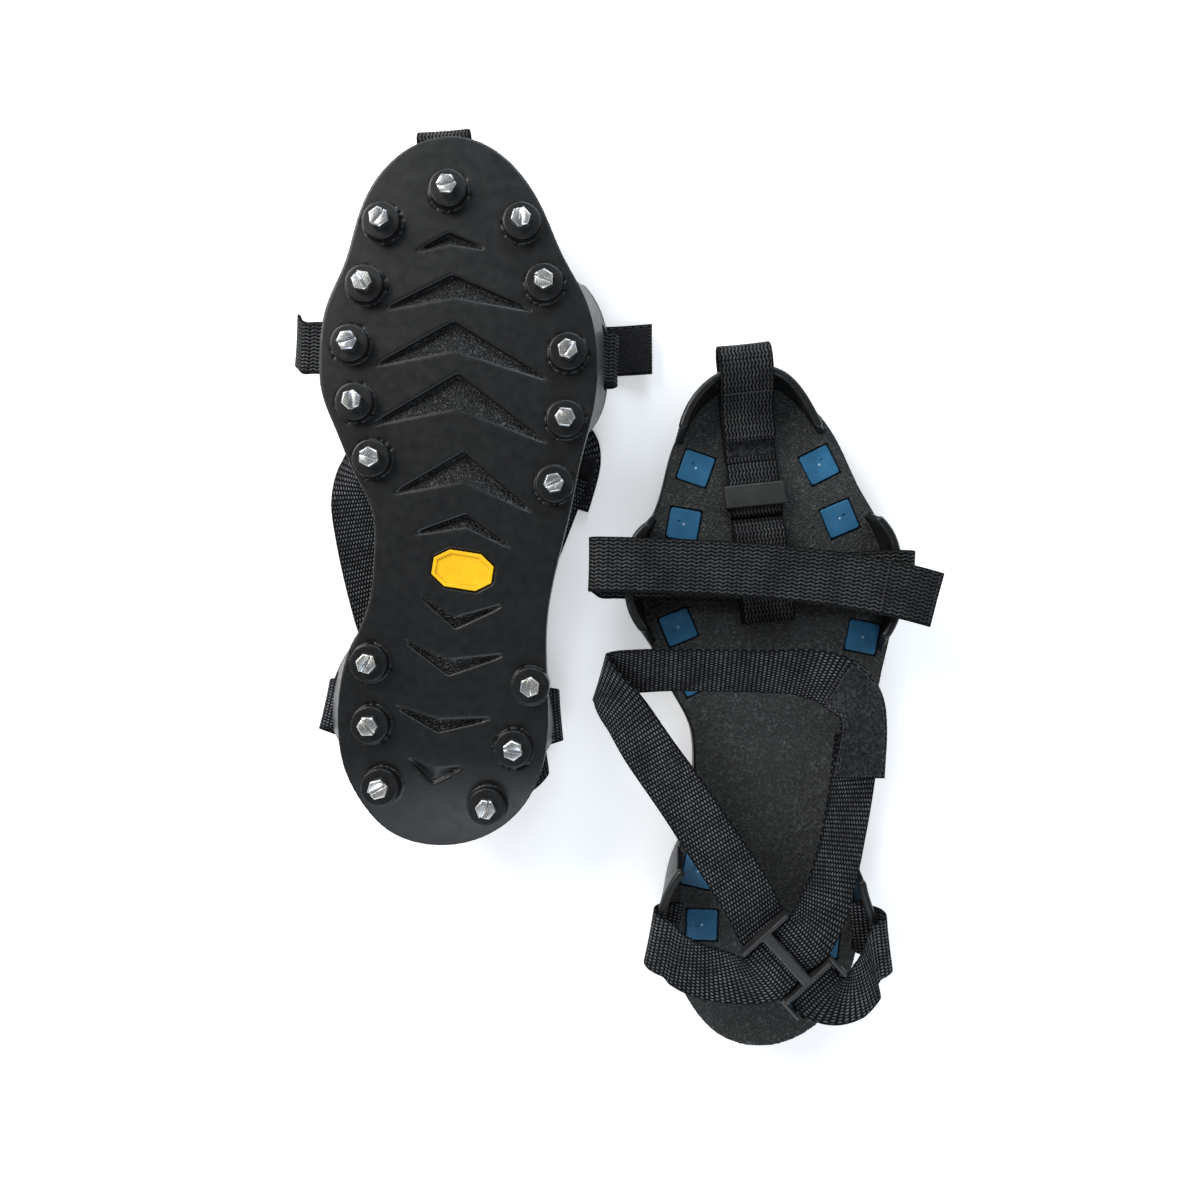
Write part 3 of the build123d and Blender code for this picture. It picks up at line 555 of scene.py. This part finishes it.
def head_cones(foot):
    """Turned blanks, one round each screw, whose cones cut the corners off the hexagon heads."""
    vertices, faces = [], []
    count = 48
    for low, high in parts_of(foot.body("cleat_screws")):
        centre = Vector(((low.x + high.x) / 2, (low.y + high.y) / 2, 0))
        head, tail, out = (low.z, high.z, -1) if foot.name == "right" else (high.z, low.z, 1)
        half_flats = min(high.x - low.x, high.y - low.y) / 2
        profile = [
            (half_flats - 0.45 * MM, head + out * 0.05 * MM), (half_flats * 1.2, head - out * 0.85 * MM),
            (half_flats * 1.3, tail - out * MM),
        ]
        faces += skin(len(profile), count, len(vertices))
        for radius, z in profile:
            for i in range(count):
                angle = 2 * math.pi * i / count
                vertices.append(centre + Vector((radius * math.cos(angle), radius * math.sin(angle), z)))
    blanks = bpy.data.objects.new("lathes", mesh_from("lathes", vertices, faces))
    bpy.context.scene.collection.objects.link(blanks)
    return blanks


def chamfered_screws(foot):
    """The hex-head screws with the corners of each head turned to a cone, edges lightly rounded."""
    piece = cad_copy(foot.body("cleat_screws"), f"{foot.name}_screw_heads", ZINC)
    blanks = head_cones(foot)
    cut = piece.modifiers.new("cones", "BOOLEAN")
    cut.operation = "INTERSECT"
    cut.solver = "EXACT"
    cut.object = blanks
    bevel = piece.modifiers.new("bevel", "BEVEL")
    bevel.width = HEAD_BEVEL * MM
    bevel.segments = 2
    bevel.angle_limit = math.radians(25)
    evaluated(piece)
    bpy.data.objects.remove(blanks)
    piece.data.shade_smooth()
    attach(piece, foot.body("foot"))
    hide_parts(foot.body("cleat_screws"))


# ---- bands, threads and pads ----
def catmull(a, b, c, d, t):
    """Point of the smooth curve from b to c."""
    bend = 2 * a - 5 * b + 4 * c - d
    return 0.5 * (2 * b + (c - a) * t + bend * t * t + (3 * b - a - 3 * c + d) * t ** 3)


class Ribbon:
    """Smooth band through stations, each a centre point and the direction across it, in the foot frame."""

    def __init__(self, foot, stations):
        self.foot = foot
        self.width = STRAP_WIDTH
        self.thickness = STRAP_THICKNESS
        points = [Vector(point) for point, _ in stations]
        sides = [Vector(side).normalized() for _, side in stations]
        rows = []
        for index in range(len(points) - 1):
            window = [max(0, min(len(points) - 1, index + shift)) for shift in (-1, 0, 1, 2)]
            length = (points[index + 1] - points[index]).length
            count = max(2, round(length / ROW_STEP))
            for step in range(count):
                t = step / count
                point = catmull(*(points[i] for i in window), t)
                side = sides[index].lerp(sides[index + 1], t)
                rows.append((point, side.normalized()))
        rows.append((points[-1], sides[-1]))
        self.rows = []
        along = 0.0
        for index, (point, side) in enumerate(rows):
            along += (point - rows[max(index - 1, 0)][0]).length
            heading = rows[min(index + 1, len(rows) - 1)][0] - rows[max(index - 1, 0)][0]
            heading -= side * heading.dot(side)
            heading.normalize()
            normal = side.cross(heading)
            self.rows.append((along, point, heading, side, normal))
        self.length = along

    def layer(self, width, thickness, lift):
        """A band of another width and thickness that lies a lift over this one."""
        copied = copy.copy(self)
        copied.width = width
        copied.thickness = thickness
        copied.rows = [(along, point + normal * lift, heading, side, normal)
                       for along, point, heading, side, normal in self.rows]
        return copied

    def at(self, along, across, up):
        """Foot-frame point at a length, an offset across and a height over the middle layer."""
        start, point, heading, side, normal = min(self.rows, key=lambda row: abs(row[0] - along))
        return point + heading * (along - start) + side * across + normal * up

    def nearest(self, x=None, y=None, last=False):
        """Length at which the band's middle is nearest to an x or a y."""
        order = self.rows[::-1] if last else self.rows
        if x is not None:
            return min(order, key=lambda row: abs(row[1].x - x))[0]
        return min(order, key=lambda row: abs(row[1].y - y))[0]

    def section(self):
        """(across, up) points round the band: flat faces, plump selvedges."""
        half = self.width / 2
        thick = self.thickness / 2
        columns = 12
        flat, shoulder = half - 0.9, half - 0.35
        top = [(-flat + 2 * flat * i / columns, thick) for i in range(columns + 1)]
        top = [(-shoulder, thick * 0.96)] + top + [(shoulder, thick * 0.96)]
        bottom = [(across, -up) for across, up in top[::-1]]
        right_edge = [(half, thick * 0.35), (half, -thick * 0.35)]
        left_edge = [(-half, -thick * 0.35), (-half, thick * 0.35)]
        return top + right_edge + bottom + left_edge

    def mesh(self, name, start=None, end=None):
        """Closed mesh of the band from one length to another."""
        start = 0 if start is None else start
        end = self.length if end is None else end
        chosen = [row for row in self.rows if start - 1e-6 <= row[0] <= end + 1e-6]
        section = self.section()
        vertices, strap = [], []
        for along, point, _, side, normal in chosen:
            for across, up in section:
                crown = 0.25 * (1 - (2 * across / self.width) ** 2)
                vertices.append(self.foot.place(point + side * across + normal * (up + crown)))
                strap.append((along, across))
        return mesh_from(name, vertices, skin(len(chosen), len(section)), strap)


def band(foot, ribbon, name, weave, body, nodes=(), start=None, end=None, blend=None):
    """A stretch of webbing as a piece that rides on a body, or, given a blend, stays fixed where it lies on
    no body.
    """
    piece = new_piece(f"{foot.name}_{name}", ribbon.mesh(name, start, end), weave)
    if blend:
        parent, child, low, high = blend
        foot.body(parent)
        foot.body(child)
        foot.place(low)
        foot.place(high)
        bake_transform(piece)
    else:
        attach(piece, foot.body(body))
    if nodes:
        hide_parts(*[foot.body(node) for node in nodes])


def tube(points, radius, sides):
    """Vertices of a thin tube through points, a ring at each."""
    vertices = []
    for index, point in enumerate(points):
        heading = (points[min(index + 1, len(points) - 1)] - points[max(index - 1, 0)]).normalized()
        guide = Vector((0, 0, 1)) if abs(heading.z) < 0.8 else Vector((1, 0, 0))
        first = heading.cross(guide).normalized()
        second = heading.cross(first)
        for i in range(sides):
            angle = 2 * math.pi * i / sides
            vertices.append(point + (first * math.cos(angle) + second * math.sin(angle)) * radius)
    return vertices


def many_tubes(name, routes, radius, sides=6):
    """One mesh of many thin closed tubes."""
    vertices, faces = [], []
    for route in routes:
        faces += skin(len(route), sides, len(vertices))
        vertices += tube(route, radius, sides)
    return mesh_from(name, vertices, faces)


def stitches(foot, ribbon, name, lines, body, up):
    """Rows of short thread stitches on a band; each line runs between two (along, across) places."""
    routes = []
    for (a0, c0), (a1, c1) in lines:
        length = math.hypot(a1 - a0, c1 - c0)
        count = max(1, round(length / STITCH_PITCH))
        for i in range(count):
            ends = []
            for share, height in ((0.12, 0.0), (0.3, 0.2), (0.7, 0.2), (0.88, 0.0)):
                t = (i + share) / count
                spot = ribbon.at(a0 + (a1 - a0) * t, c0 + (c1 - c0) * t, up + math.copysign(height, up))
                ends.append(foot.place(spot))
            routes.append(ends)
    piece = new_piece(f"{foot.name}_{name}", many_tubes(name, routes, THREAD_RADIUS * MM), THREAD)
    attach(piece, foot.body(body))


def pile_mat(foot, ribbon, name, start, end, up, thickness, draw, seed):
    """Mesh of an uneven mat on a band, ragged at its rim."""
    columns = 26
    rows = max(6, round((end - start) / MAT_STEP))
    outward = math.copysign(1, up)
    vertices, faces = [], []
    for layer in (0, 1):
        for i in range(rows + 1):
            for j in range(columns + 1):
                rim = i in (0, rows) or j in (0, columns)
                ragged = draw.uniform(-RAGGED, RAGGED) if rim else 0
                along = start + (end - start) * i / rows + ragged
                across = -PAD_WIDTH / 2 + PAD_WIDTH * j / columns + ragged
                lump = vnoise.noise(Vector((along * 0.7, across * 0.7, seed))) * 0.3
                lump += vnoise.noise(Vector((along * 2.2, across * 2.2, seed))) * 0.25
                high = up + outward * (thickness * (0.35 if rim else 0.8) + (0 if rim else lump))
                vertices.append(foot.place(ribbon.at(along, across, high if layer else up)))
    stride = columns + 1
    size = stride * (rows + 1)
    for i in range(rows):
        for j in range(columns):
            a = i * stride + j
            faces.append((a, a + 1, a + stride + 1, a + stride))
            faces.append(tuple(size + k for k in (a, a + stride, a + stride + 1, a + 1)))
    around = list(range(columns)) + [i * stride + columns for i in range(rows)]
    around += [rows * stride + j for j in range(columns, 0, -1)] + [i * stride for i in range(rows, 0, -1)]
    for a, b in zip(around, around[1:] + around[:1]):
        faces.append((a, b, size + b, size + a))
    return mesh_from(name, vertices, faces)


def pile_loops(foot, ribbon, name, start, end, base, outward, draw):
    """Mesh of small yarn loops that stand out of a mat in all directions."""
    margin = 0.4
    per_area = 1.6
    arch = ((-1, -0.3), (-0.6, 0.7), (0, 1), (0.6, 0.7), (1, -0.3))
    routes = []
    for _ in range(round((end - start) * PAD_WIDTH * per_area)):
        along = draw.uniform(start + margin, end - margin)
        across = draw.uniform(-PAD_WIDTH / 2 + margin, PAD_WIDTH / 2 - margin)
        angle = draw.uniform(0, math.pi)
        reach = draw.uniform(0.35, 0.7)
        rise = draw.uniform(0.2, 0.55)
        run, drift = math.cos(angle) * reach, math.sin(angle) * reach
        loop = []
        for share, height in arch:
            spot = ribbon.at(along + run * share, across + drift * share, base + outward * rise * height)
            loop.append(foot.place(spot))
        routes.append(loop)
    return many_tubes(name, routes, LOOP_RADIUS * MM, 3)


def pile_pad(foot, ribbon, name, start, end, up, thickness, body, node, seed):
    """Fuzzy loop pile on a band: an uneven mat with small loops standing out of it."""
    draw = random.Random(seed)
    outward = math.copysign(1, up)
    mat = pile_mat(foot, ribbon, name, start, end, up, thickness, draw, seed)
    piece = new_piece(f"{foot.name}_{name}", mat, PILE)
    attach(piece, foot.body(body))
    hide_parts(foot.body(node))
    base = up + outward * thickness * 0.75
    loops = pile_loops(foot, ribbon, name, start, end, base, outward, draw)
    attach(new_piece(f"{foot.name}_{name}_loops", loops, PILE), foot.body(body))


def hook_pad(foot, ribbon, name, start, end, up, body, node):
    """Hook tape on a band: a thin backing with rows of small hooks."""
    outward = math.copysign(1, up)
    backing = ribbon.layer(PAD_WIDTH, TAPE_THICKNESS, up + outward * 0.18)
    piece = new_piece(f"{foot.name}_{name}", backing.mesh(name, start, end), HOOK)
    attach(piece, foot.body(body))
    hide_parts(foot.body(node))
    margin = 0.8
    hook = ((0, 0.3), (0.05, 0.6), (0.25, 0.8), (0.5, 0.72), (0.58, 0.55))
    rows = int((end - start - 2 * margin) / HOOK_PITCH)
    columns = int((PAD_WIDTH - 2 * margin) / HOOK_PITCH)
    routes = []
    for i in range(rows + 1):
        for j in range(columns + 1):
            along = start + margin + i * HOOK_PITCH
            across = -PAD_WIDTH / 2 + margin + (j + 0.5 * (i % 2)) * HOOK_PITCH
            if across > PAD_WIDTH / 2 - 0.6:
                continue
            routes.append([foot.place(ribbon.at(along + reach, across, up + outward * rise))
                           for reach, rise in hook])
    hooks = many_tubes(name, routes, HOOK_RADIUS * MM, 4)
    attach(new_piece(f"{foot.name}_{name}_hooks", hooks, HOOK), foot.body(body))


# ---- routes of the straps ----
def toe_station(along, z):
    """Centre and across direction of the toe strap at a length along it and a height."""
    point = (TOE_ORIGIN[0] - math.sin(TOE_LEAN) * along, TOE_ORIGIN[1] + math.cos(TOE_LEAN) * along, z)
    return point, (math.cos(TOE_LEAN), math.sin(TOE_LEAN), 0)


def instep_y(foot, x):
    """Where the lower instep strap's middle lies at an x."""
    return foot.instep_y + foot.instep_slope * x


def plan_across(points):
    """Horizontal direction to the left of the way that a line of points runs."""
    result = []
    for index in range(len(points)):
        first, last = points[max(index - 1, 0)], points[min(index + 1, len(points) - 1)]
        run = last[0] - first[0], last[1] - first[1]
        result.append((-run[1], run[0], 0) if run[0] > 3 else (0.03, 1, 0))
    return result


def hem(at):
    """Line for a seam straight across a band."""
    return (at, -HEM_HALF), (at, HEM_HALF)


def face(ribbon, along):
    """Half the band's thickness, signed so that it points up in the foot frame."""
    row = min(ribbon.rows, key=lambda item: abs(item[0] - along))
    return math.copysign(ribbon.thickness / 2, row[4].z)


def toe_strap(foot):
    """Loop round the instep strap, forward over the bed, up round the toe rim and folded back."""
    line = [
        (49.5, 21.7), (47, 22.7), (43.5, 24.6), (30, 24.8), (4, 24.8), (2.3, 24.2), (1.5, 22.3), (2.3, 20.4),
        (4, 19.8), (30, 19.8), (51, 19.8), (55, 21.5), (76, 21.5), (80, 20.3), (106, 20.3), (112, 24.8),
        (116, 26.3), (126, 26.3), (129, 27.2), (131.6, 29.4), (132, 32), (130, 34.8), (126, 36.3),
        (120, 36.1), (115, 34.4), (109.5, 30.4), (104.5, 26.2), (101, 24.9), (95, 24.7), (88.5, 24.7),
    ]
    rim_at, pad_at, pad_length = 124, 81, 23
    ribbon = Ribbon(foot, [toe_station(*spot) for spot in line])
    outer = [row for row in ribbon.rows if row[1].y > toe_station(rim_at, 0)[0][1]]
    leave, back = outer[0][0], outer[-1][0]
    fold = ("foot", "toe_flap", toe_station(130, 27.4)[0], toe_station(130, 34.5)[0])
    band(foot, ribbon, "toe_strap_woven", TOE_WEAVE, "foot", ["toe_strap"], None, leave)
    band(foot, ribbon, "toe_fold_woven", TOE_WEAVE, None, [], leave, back, fold)
    band(foot, ribbon, "toe_flap_woven", TOE_WEAVE, "toe_flap", ["toe_flap"], back, None)
    end = ribbon.length
    hem_up = math.copysign(0.95, face(ribbon, end))
    stitches(foot, ribbon, "toe_hem_thread", [hem(end - 1.6), hem(end - HEM_FOLD)], "toe_flap", hem_up)
    pad = ribbon.nearest(y=toe_station(pad_at, 0)[0][1])
    up = face(ribbon, pad)
    pile_pad(foot, ribbon, "toe_loop_pile", pad, pad + pad_length, up, 0.9, "foot", "toe_loop_pad", 1)
    under = -face(ribbon, end - 6)
    hook_pad(foot, ribbon, "toe_hook_tape", end - 12, end - 1, under, "toe_flap", "toe_hook_pad")


def instep_strap(foot):
    """Loop round the lateral wing, across the bed, out of the medial slot and folded back over."""
    wing_x = 64.5 + foot.wing_lean
    line = [
        (wing_x - 13, 31), (wing_x - 9, 39.5), (wing_x - 4.5, 45.2), (wing_x, 47),
        (wing_x + 5, 45.6), (wing_x + 7, 41.8), (wing_x + 5, 38.2), (wing_x, 37.2),
        (wing_x - 5, 35.3), (wing_x - 13, 25.9), (44, 22.4), (30, 22.2), (0, 22.2), (-30, 22.2), (-44, 22.4),
        (-49.5, 25.5), (-57.5, 35), (-62.5, 37), (-70, 38), (-76, 38.6),
    ]
    rim_x, pad_x, pad_end_x = -72, -14, -42
    across = (-foot.instep_slope, 1, 0)
    stations = [((x, instep_y(foot, x), z), across) for x, z in line]
    stations += zip(foot.flap_line, plan_across(foot.flap_line))
    ribbon = Ribbon(foot, stations)
    outer = [row for row in ribbon.rows if row[1].x < rim_x]
    leave, back = outer[0][0], outer[-1][0]
    fold = ("foot", "instep_flap", (-80, 72, 39.4), (-80, 72, foot.flap_line[2][2] - 0.6))
    band(foot, ribbon, "instep_strap_woven", INSTEP_WEAVE, "foot", ["instep_strap"], None, leave)
    band(foot, ribbon, "instep_fold_woven", INSTEP_WEAVE, None, [], leave, back, fold)
    band(foot, ribbon, "instep_flap_woven", INSTEP_WEAVE, "instep_flap", ["instep_flap"], back, None)
    end = ribbon.length
    hem_up = 1.2 * face(ribbon, end - 4)
    stitches(foot, ribbon, "instep_hem_thread", [hem(end - 1.8), hem(end - HEM_FOLD)], "instep_flap", hem_up)
    lower = [row for row in ribbon.rows if row[0] < leave]
    pad = min(lower, key=lambda row: abs(row[1].x - pad_x))[0]
    pad_end = min(lower, key=lambda row: abs(row[1].x - pad_end_x))[0]
    up = face(ribbon, pad)
    pile_pad(foot, ribbon, "instep_loop_pile", pad, pad_end, up, 0.8, "foot", "instep_loop_pad", 3)
    under = -face(ribbon, end - 6)
    hook_pad(foot, ribbon, "instep_hook_tape", end - 25, end - 1, under, "instep_flap", "instep_hook_pad")


def medial_ankle(foot):
    """Sewn end, through the medial heel slot, over the wing, through the buckle and forward."""
    over = (0.2, 0.98, 0)
    lean = foot.medial_lean
    loop = [
        (-46.5, -101, 35.6), (-50, -101, 36.4), (-54.5, -101, 36.9), (-58.6, -101.4, 38.6),
        (-59.9, -102.2, 42), (-58.9, -103.4, 45.4), (-55.5, -105, 47.2), (-52, -106.6, 47.6),
    ]
    stations = [((x + lean, y, z), over) for x, y, z in loop]
    ribbon = Ribbon(foot, stations + foot.medial_run)
    low, high = foot.medial_turns
    leave = ribbon.nearest(x=low[0] - 2, last=True)
    arrive = ribbon.nearest(x=high[0])
    heel = ("foot", "ankle_harness", low, high)
    band(foot, ribbon, "ankle_anchor_medial_woven", ANKLE_WEAVE, "foot", ["ankle_anchor_medial"], None, leave)
    band(foot, ribbon, "ankle_medial_link_woven", ANKLE_WEAVE, None, [], leave, arrive, heel)
    band(foot, ribbon, "ankle_strap_medial_woven", ANKLE_WEAVE, "ankle_harness", ["ankle_strap_medial"],
         arrive)


def lateral_ankle(foot):
    """Sewn end, through the lateral heel slot, over the wing, under the buckle and on to the fold."""
    over = (0.1, -1, 0)
    lean = foot.lateral_lean
    loop = [
        (43, -103, 31), (47.5, -103.4, 35), (52, -104, 36.7), (54.8, -104.6, 38.6),
        (55.8, -105.4, 42), (54.8, -106.4, 45.4), (52, -107.6, 47.2), (49.4, -108.8, 47.6),
    ]
    stations = [((x + lean, y, z), over) for x, y, z in loop]
    ribbon = Ribbon(foot, stations + foot.lateral_run + foot.closure_run)
    low, high = foot.lateral_turns
    leave = min(row for row in ribbon.rows if row[1].y < -109.5)[0]
    arrive = min(row for row in ribbon.rows if row[0] > leave and row[1].x < high[0] - 1)[0]
    fold_low, fold_high = foot.fold_turns
    from_y, to_x = foot.fold_span
    fold_from = min(row for row in ribbon.rows if row[0] > arrive and row[1].y > from_y)[0]
    fold_to = min(row for row in ribbon.rows if row[0] > fold_from + 20 and row[1].x > to_x)[0]
    heel = ("foot", "ankle_harness", low, high)
    fold = ("ankle_harness", "ankle_closure", fold_low, fold_high)
    band(foot, ribbon, "ankle_anchor_lateral_woven", ANKLE_WEAVE, "foot", ["ankle_anchor_lateral"],
         None, leave)
    band(foot, ribbon, "ankle_lateral_link_woven", ANKLE_WEAVE, None, [], leave, arrive, heel)
    band(foot, ribbon, "ankle_strap_lateral_woven", ANKLE_WEAVE, "ankle_harness", ["ankle_strap_lateral"],
         arrive, fold_from)
    band(foot, ribbon, "ankle_fold_woven", ANKLE_WEAVE, None, [], fold_from, fold_to, fold)
    band(foot, ribbon, "ankle_closure_woven", ANKLE_WEAVE, "ankle_closure", ["ankle_closure"], fold_to)
    end = ribbon.length
    up = face(ribbon, end - 8)
    pad, pad_end, side = end - 46, end - 1, 11.6
    pile_pad(foot, ribbon, "closure_pile", pad, pad_end, up, 0.9, "ankle_closure", "closure_pad", 5)
    hook_pad(foot, ribbon, "closure_hook_tape", end - 24, end - 2, -up, "ankle_closure", "closure_hook_pad")
    seams = [hem(end - 47.5), ((pad, -side), (pad_end, -side)), ((pad, side), (pad_end, side))]
    stitches(foot, ribbon, "closure_thread", seams, "ankle_closure", 1.2 * up)


# ---- the two feet ----
def anchor_dots(foot):
    """Pale moulding mark in the middle of each anchor plate."""
    outward = 1 if foot.name == "right" else -1
    sunk, tall = 0.35, 0.42
    routes = []
    for low, high in parts_of(foot.body("anchor_plates")):
        top = high.z if outward > 0 else low.z
        centre = Vector(((low.x + high.x) / 2, (low.y + high.y) / 2, top - outward * sunk * MM))
        routes.append([centre, centre + Vector((0, 0, outward * tall * MM))])
    dots = many_tubes("dots", routes, DOT_RADIUS * MM, 12)
    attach(new_piece(f"{foot.name}_anchor_dots", dots, PALE_DOT), foot.body("foot"))


def hard_parts(foot):
    """Sole, screws, keeper and buckle made from their CAD shapes; the other hard parts only painted."""
    rubber = rubber_paint(foot)
    sole = moulded(foot.body("outsole"), f"{foot.name}_sole", rubber, SOLE_VOXEL * MM, 3)
    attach(sole, foot.body("foot"))
    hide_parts(foot.body("outsole"))
    chamfered_screws(foot)
    for node, material in (("footbed", FOOTBED), ("anchor_plates", ANCHOR), ("badge", BADGE)):
        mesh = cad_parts[foot.body(node)].data
        mesh.materials.clear()
        mesh.materials.append(material)
    keeper = bevelled(foot.body("toe_keeper"), f"{foot.name}_keeper", KEEPER, KEEPER_BEVEL * MM)
    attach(keeper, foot.body("toe_keeper"))
    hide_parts(foot.body("toe_keeper"))
    buckle_name = f"{foot.name}_buckle"
    buckle = moulded(foot.body("crossing_buckle"), buckle_name, PLASTIC, BUCKLE_VOXEL * MM, 5)
    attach(buckle, foot.body("ankle_harness"))
    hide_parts(foot.body("crossing_buckle"))
    anchor_dots(foot)


def build(foot):
    """All the visual pieces of one foot."""
    hard_parts(foot)
    toe_strap(foot)
    instep_strap(foot)
    medial_ankle(foot)
    lateral_ankle(foot)


build(RIGHT)
build(LEFT)


# ---- floor, lights, camera ----
def floor():
    """Plain pale floor that the lights and a faint glow of its own keep white."""
    paint = Paint("floor_pale", Roughness=0.9, Emission_Color=(1, 1, 1, 1), Emission_Strength=0.3)
    cloud = paint.ramp(paint.noise(3, 2), 0.3, 0.7)
    paint.set(Base_Color=paint.mix(cloud, (0.93, 0.93, 0.93), (0.95, 0.95, 0.95)))
    mesh = bpy.data.meshes.new("floor")
    corners = [(-1, -1), (1, -1), (1, 1), (-1, 1)]
    mesh.from_pydata([(x * FLOOR_REACH, y * FLOOR_REACH, FLOOR_Z) for x, y in corners], [], [(0, 1, 2, 3)])
    mesh.materials.append(paint.material)
    plane = bpy.data.objects.new("floor", mesh)
    bpy.context.scene.collection.objects.link(plane)


def soft_light(name, place, size, power, colour):
    """Square softbox that faces the middle of the floor."""
    data = bpy.data.lights.new(name, "AREA")
    data.shape = "SQUARE"
    data.size = size
    data.energy = power
    data.color = colour
    lamp = bpy.data.objects.new(name, data)
    lamp.location = place
    lamp.rotation_euler = (-Vector(place)).to_track_quat("-Z", "Y").to_euler()
    bpy.context.scene.collection.objects.link(lamp)


def sky():
    """World light that is dim overhead and bright near the horizon."""
    world = bpy.data.worlds.new("studio")
    world.use_nodes = True
    tree = world.node_tree
    background = tree.nodes["Background"]
    direction = tree.nodes.new("ShaderNodeTexCoord")
    split = tree.nodes.new("ShaderNodeSeparateXYZ")
    fade = tree.nodes.new("ShaderNodeMapRange")
    fade.interpolation_type = "SMOOTHSTEP"
    tree.links.new(direction.outputs["Generated"], split.inputs[0])
    tree.links.new(split.outputs[2], fade.inputs[0])
    low_up, high_up, bright, dim = 0.3, 0.85, 0.72, 0.24
    for socket, number in zip(fade.inputs[1:5], (low_up, high_up, bright, dim)):
        socket.default_value = number
    tree.links.new(fade.outputs[0], background.inputs["Strength"])
    background.inputs["Color"].default_value = (0.96, 0.98, 1.0, 1)
    bpy.context.scene.world = world


def studio():
    """Softboxes low at the toe side and behind the heels, under a dim sky."""
    floor()
    sky()
    soft_light("key", (-1.0, 0.85, 0.8), 0.8, 24, (1.0, 0.99, 0.97))
    soft_light("top", (0.2, 1.2, 0.65), 0.6, 9, (0.8, 0.9, 1.0))
    soft_light("heel", (0.0, -0.85, 0.8), 0.7, 6, (0.82, 0.9, 1.0))
    bpy.context.scene.view_settings.view_transform = "Standard"


def camera():
    """Camera that looks straight down."""
    data = bpy.data.cameras.new("camera")
    data.sensor_width = 36
    data.lens = CAMERA_LENS
    data.clip_start = 0.01
    view = bpy.data.objects.new("camera", data)
    view.location = CAMERA_PLACE
    bpy.context.scene.collection.objects.link(view)
    bpy.context.scene.camera = view


studio()
camera()
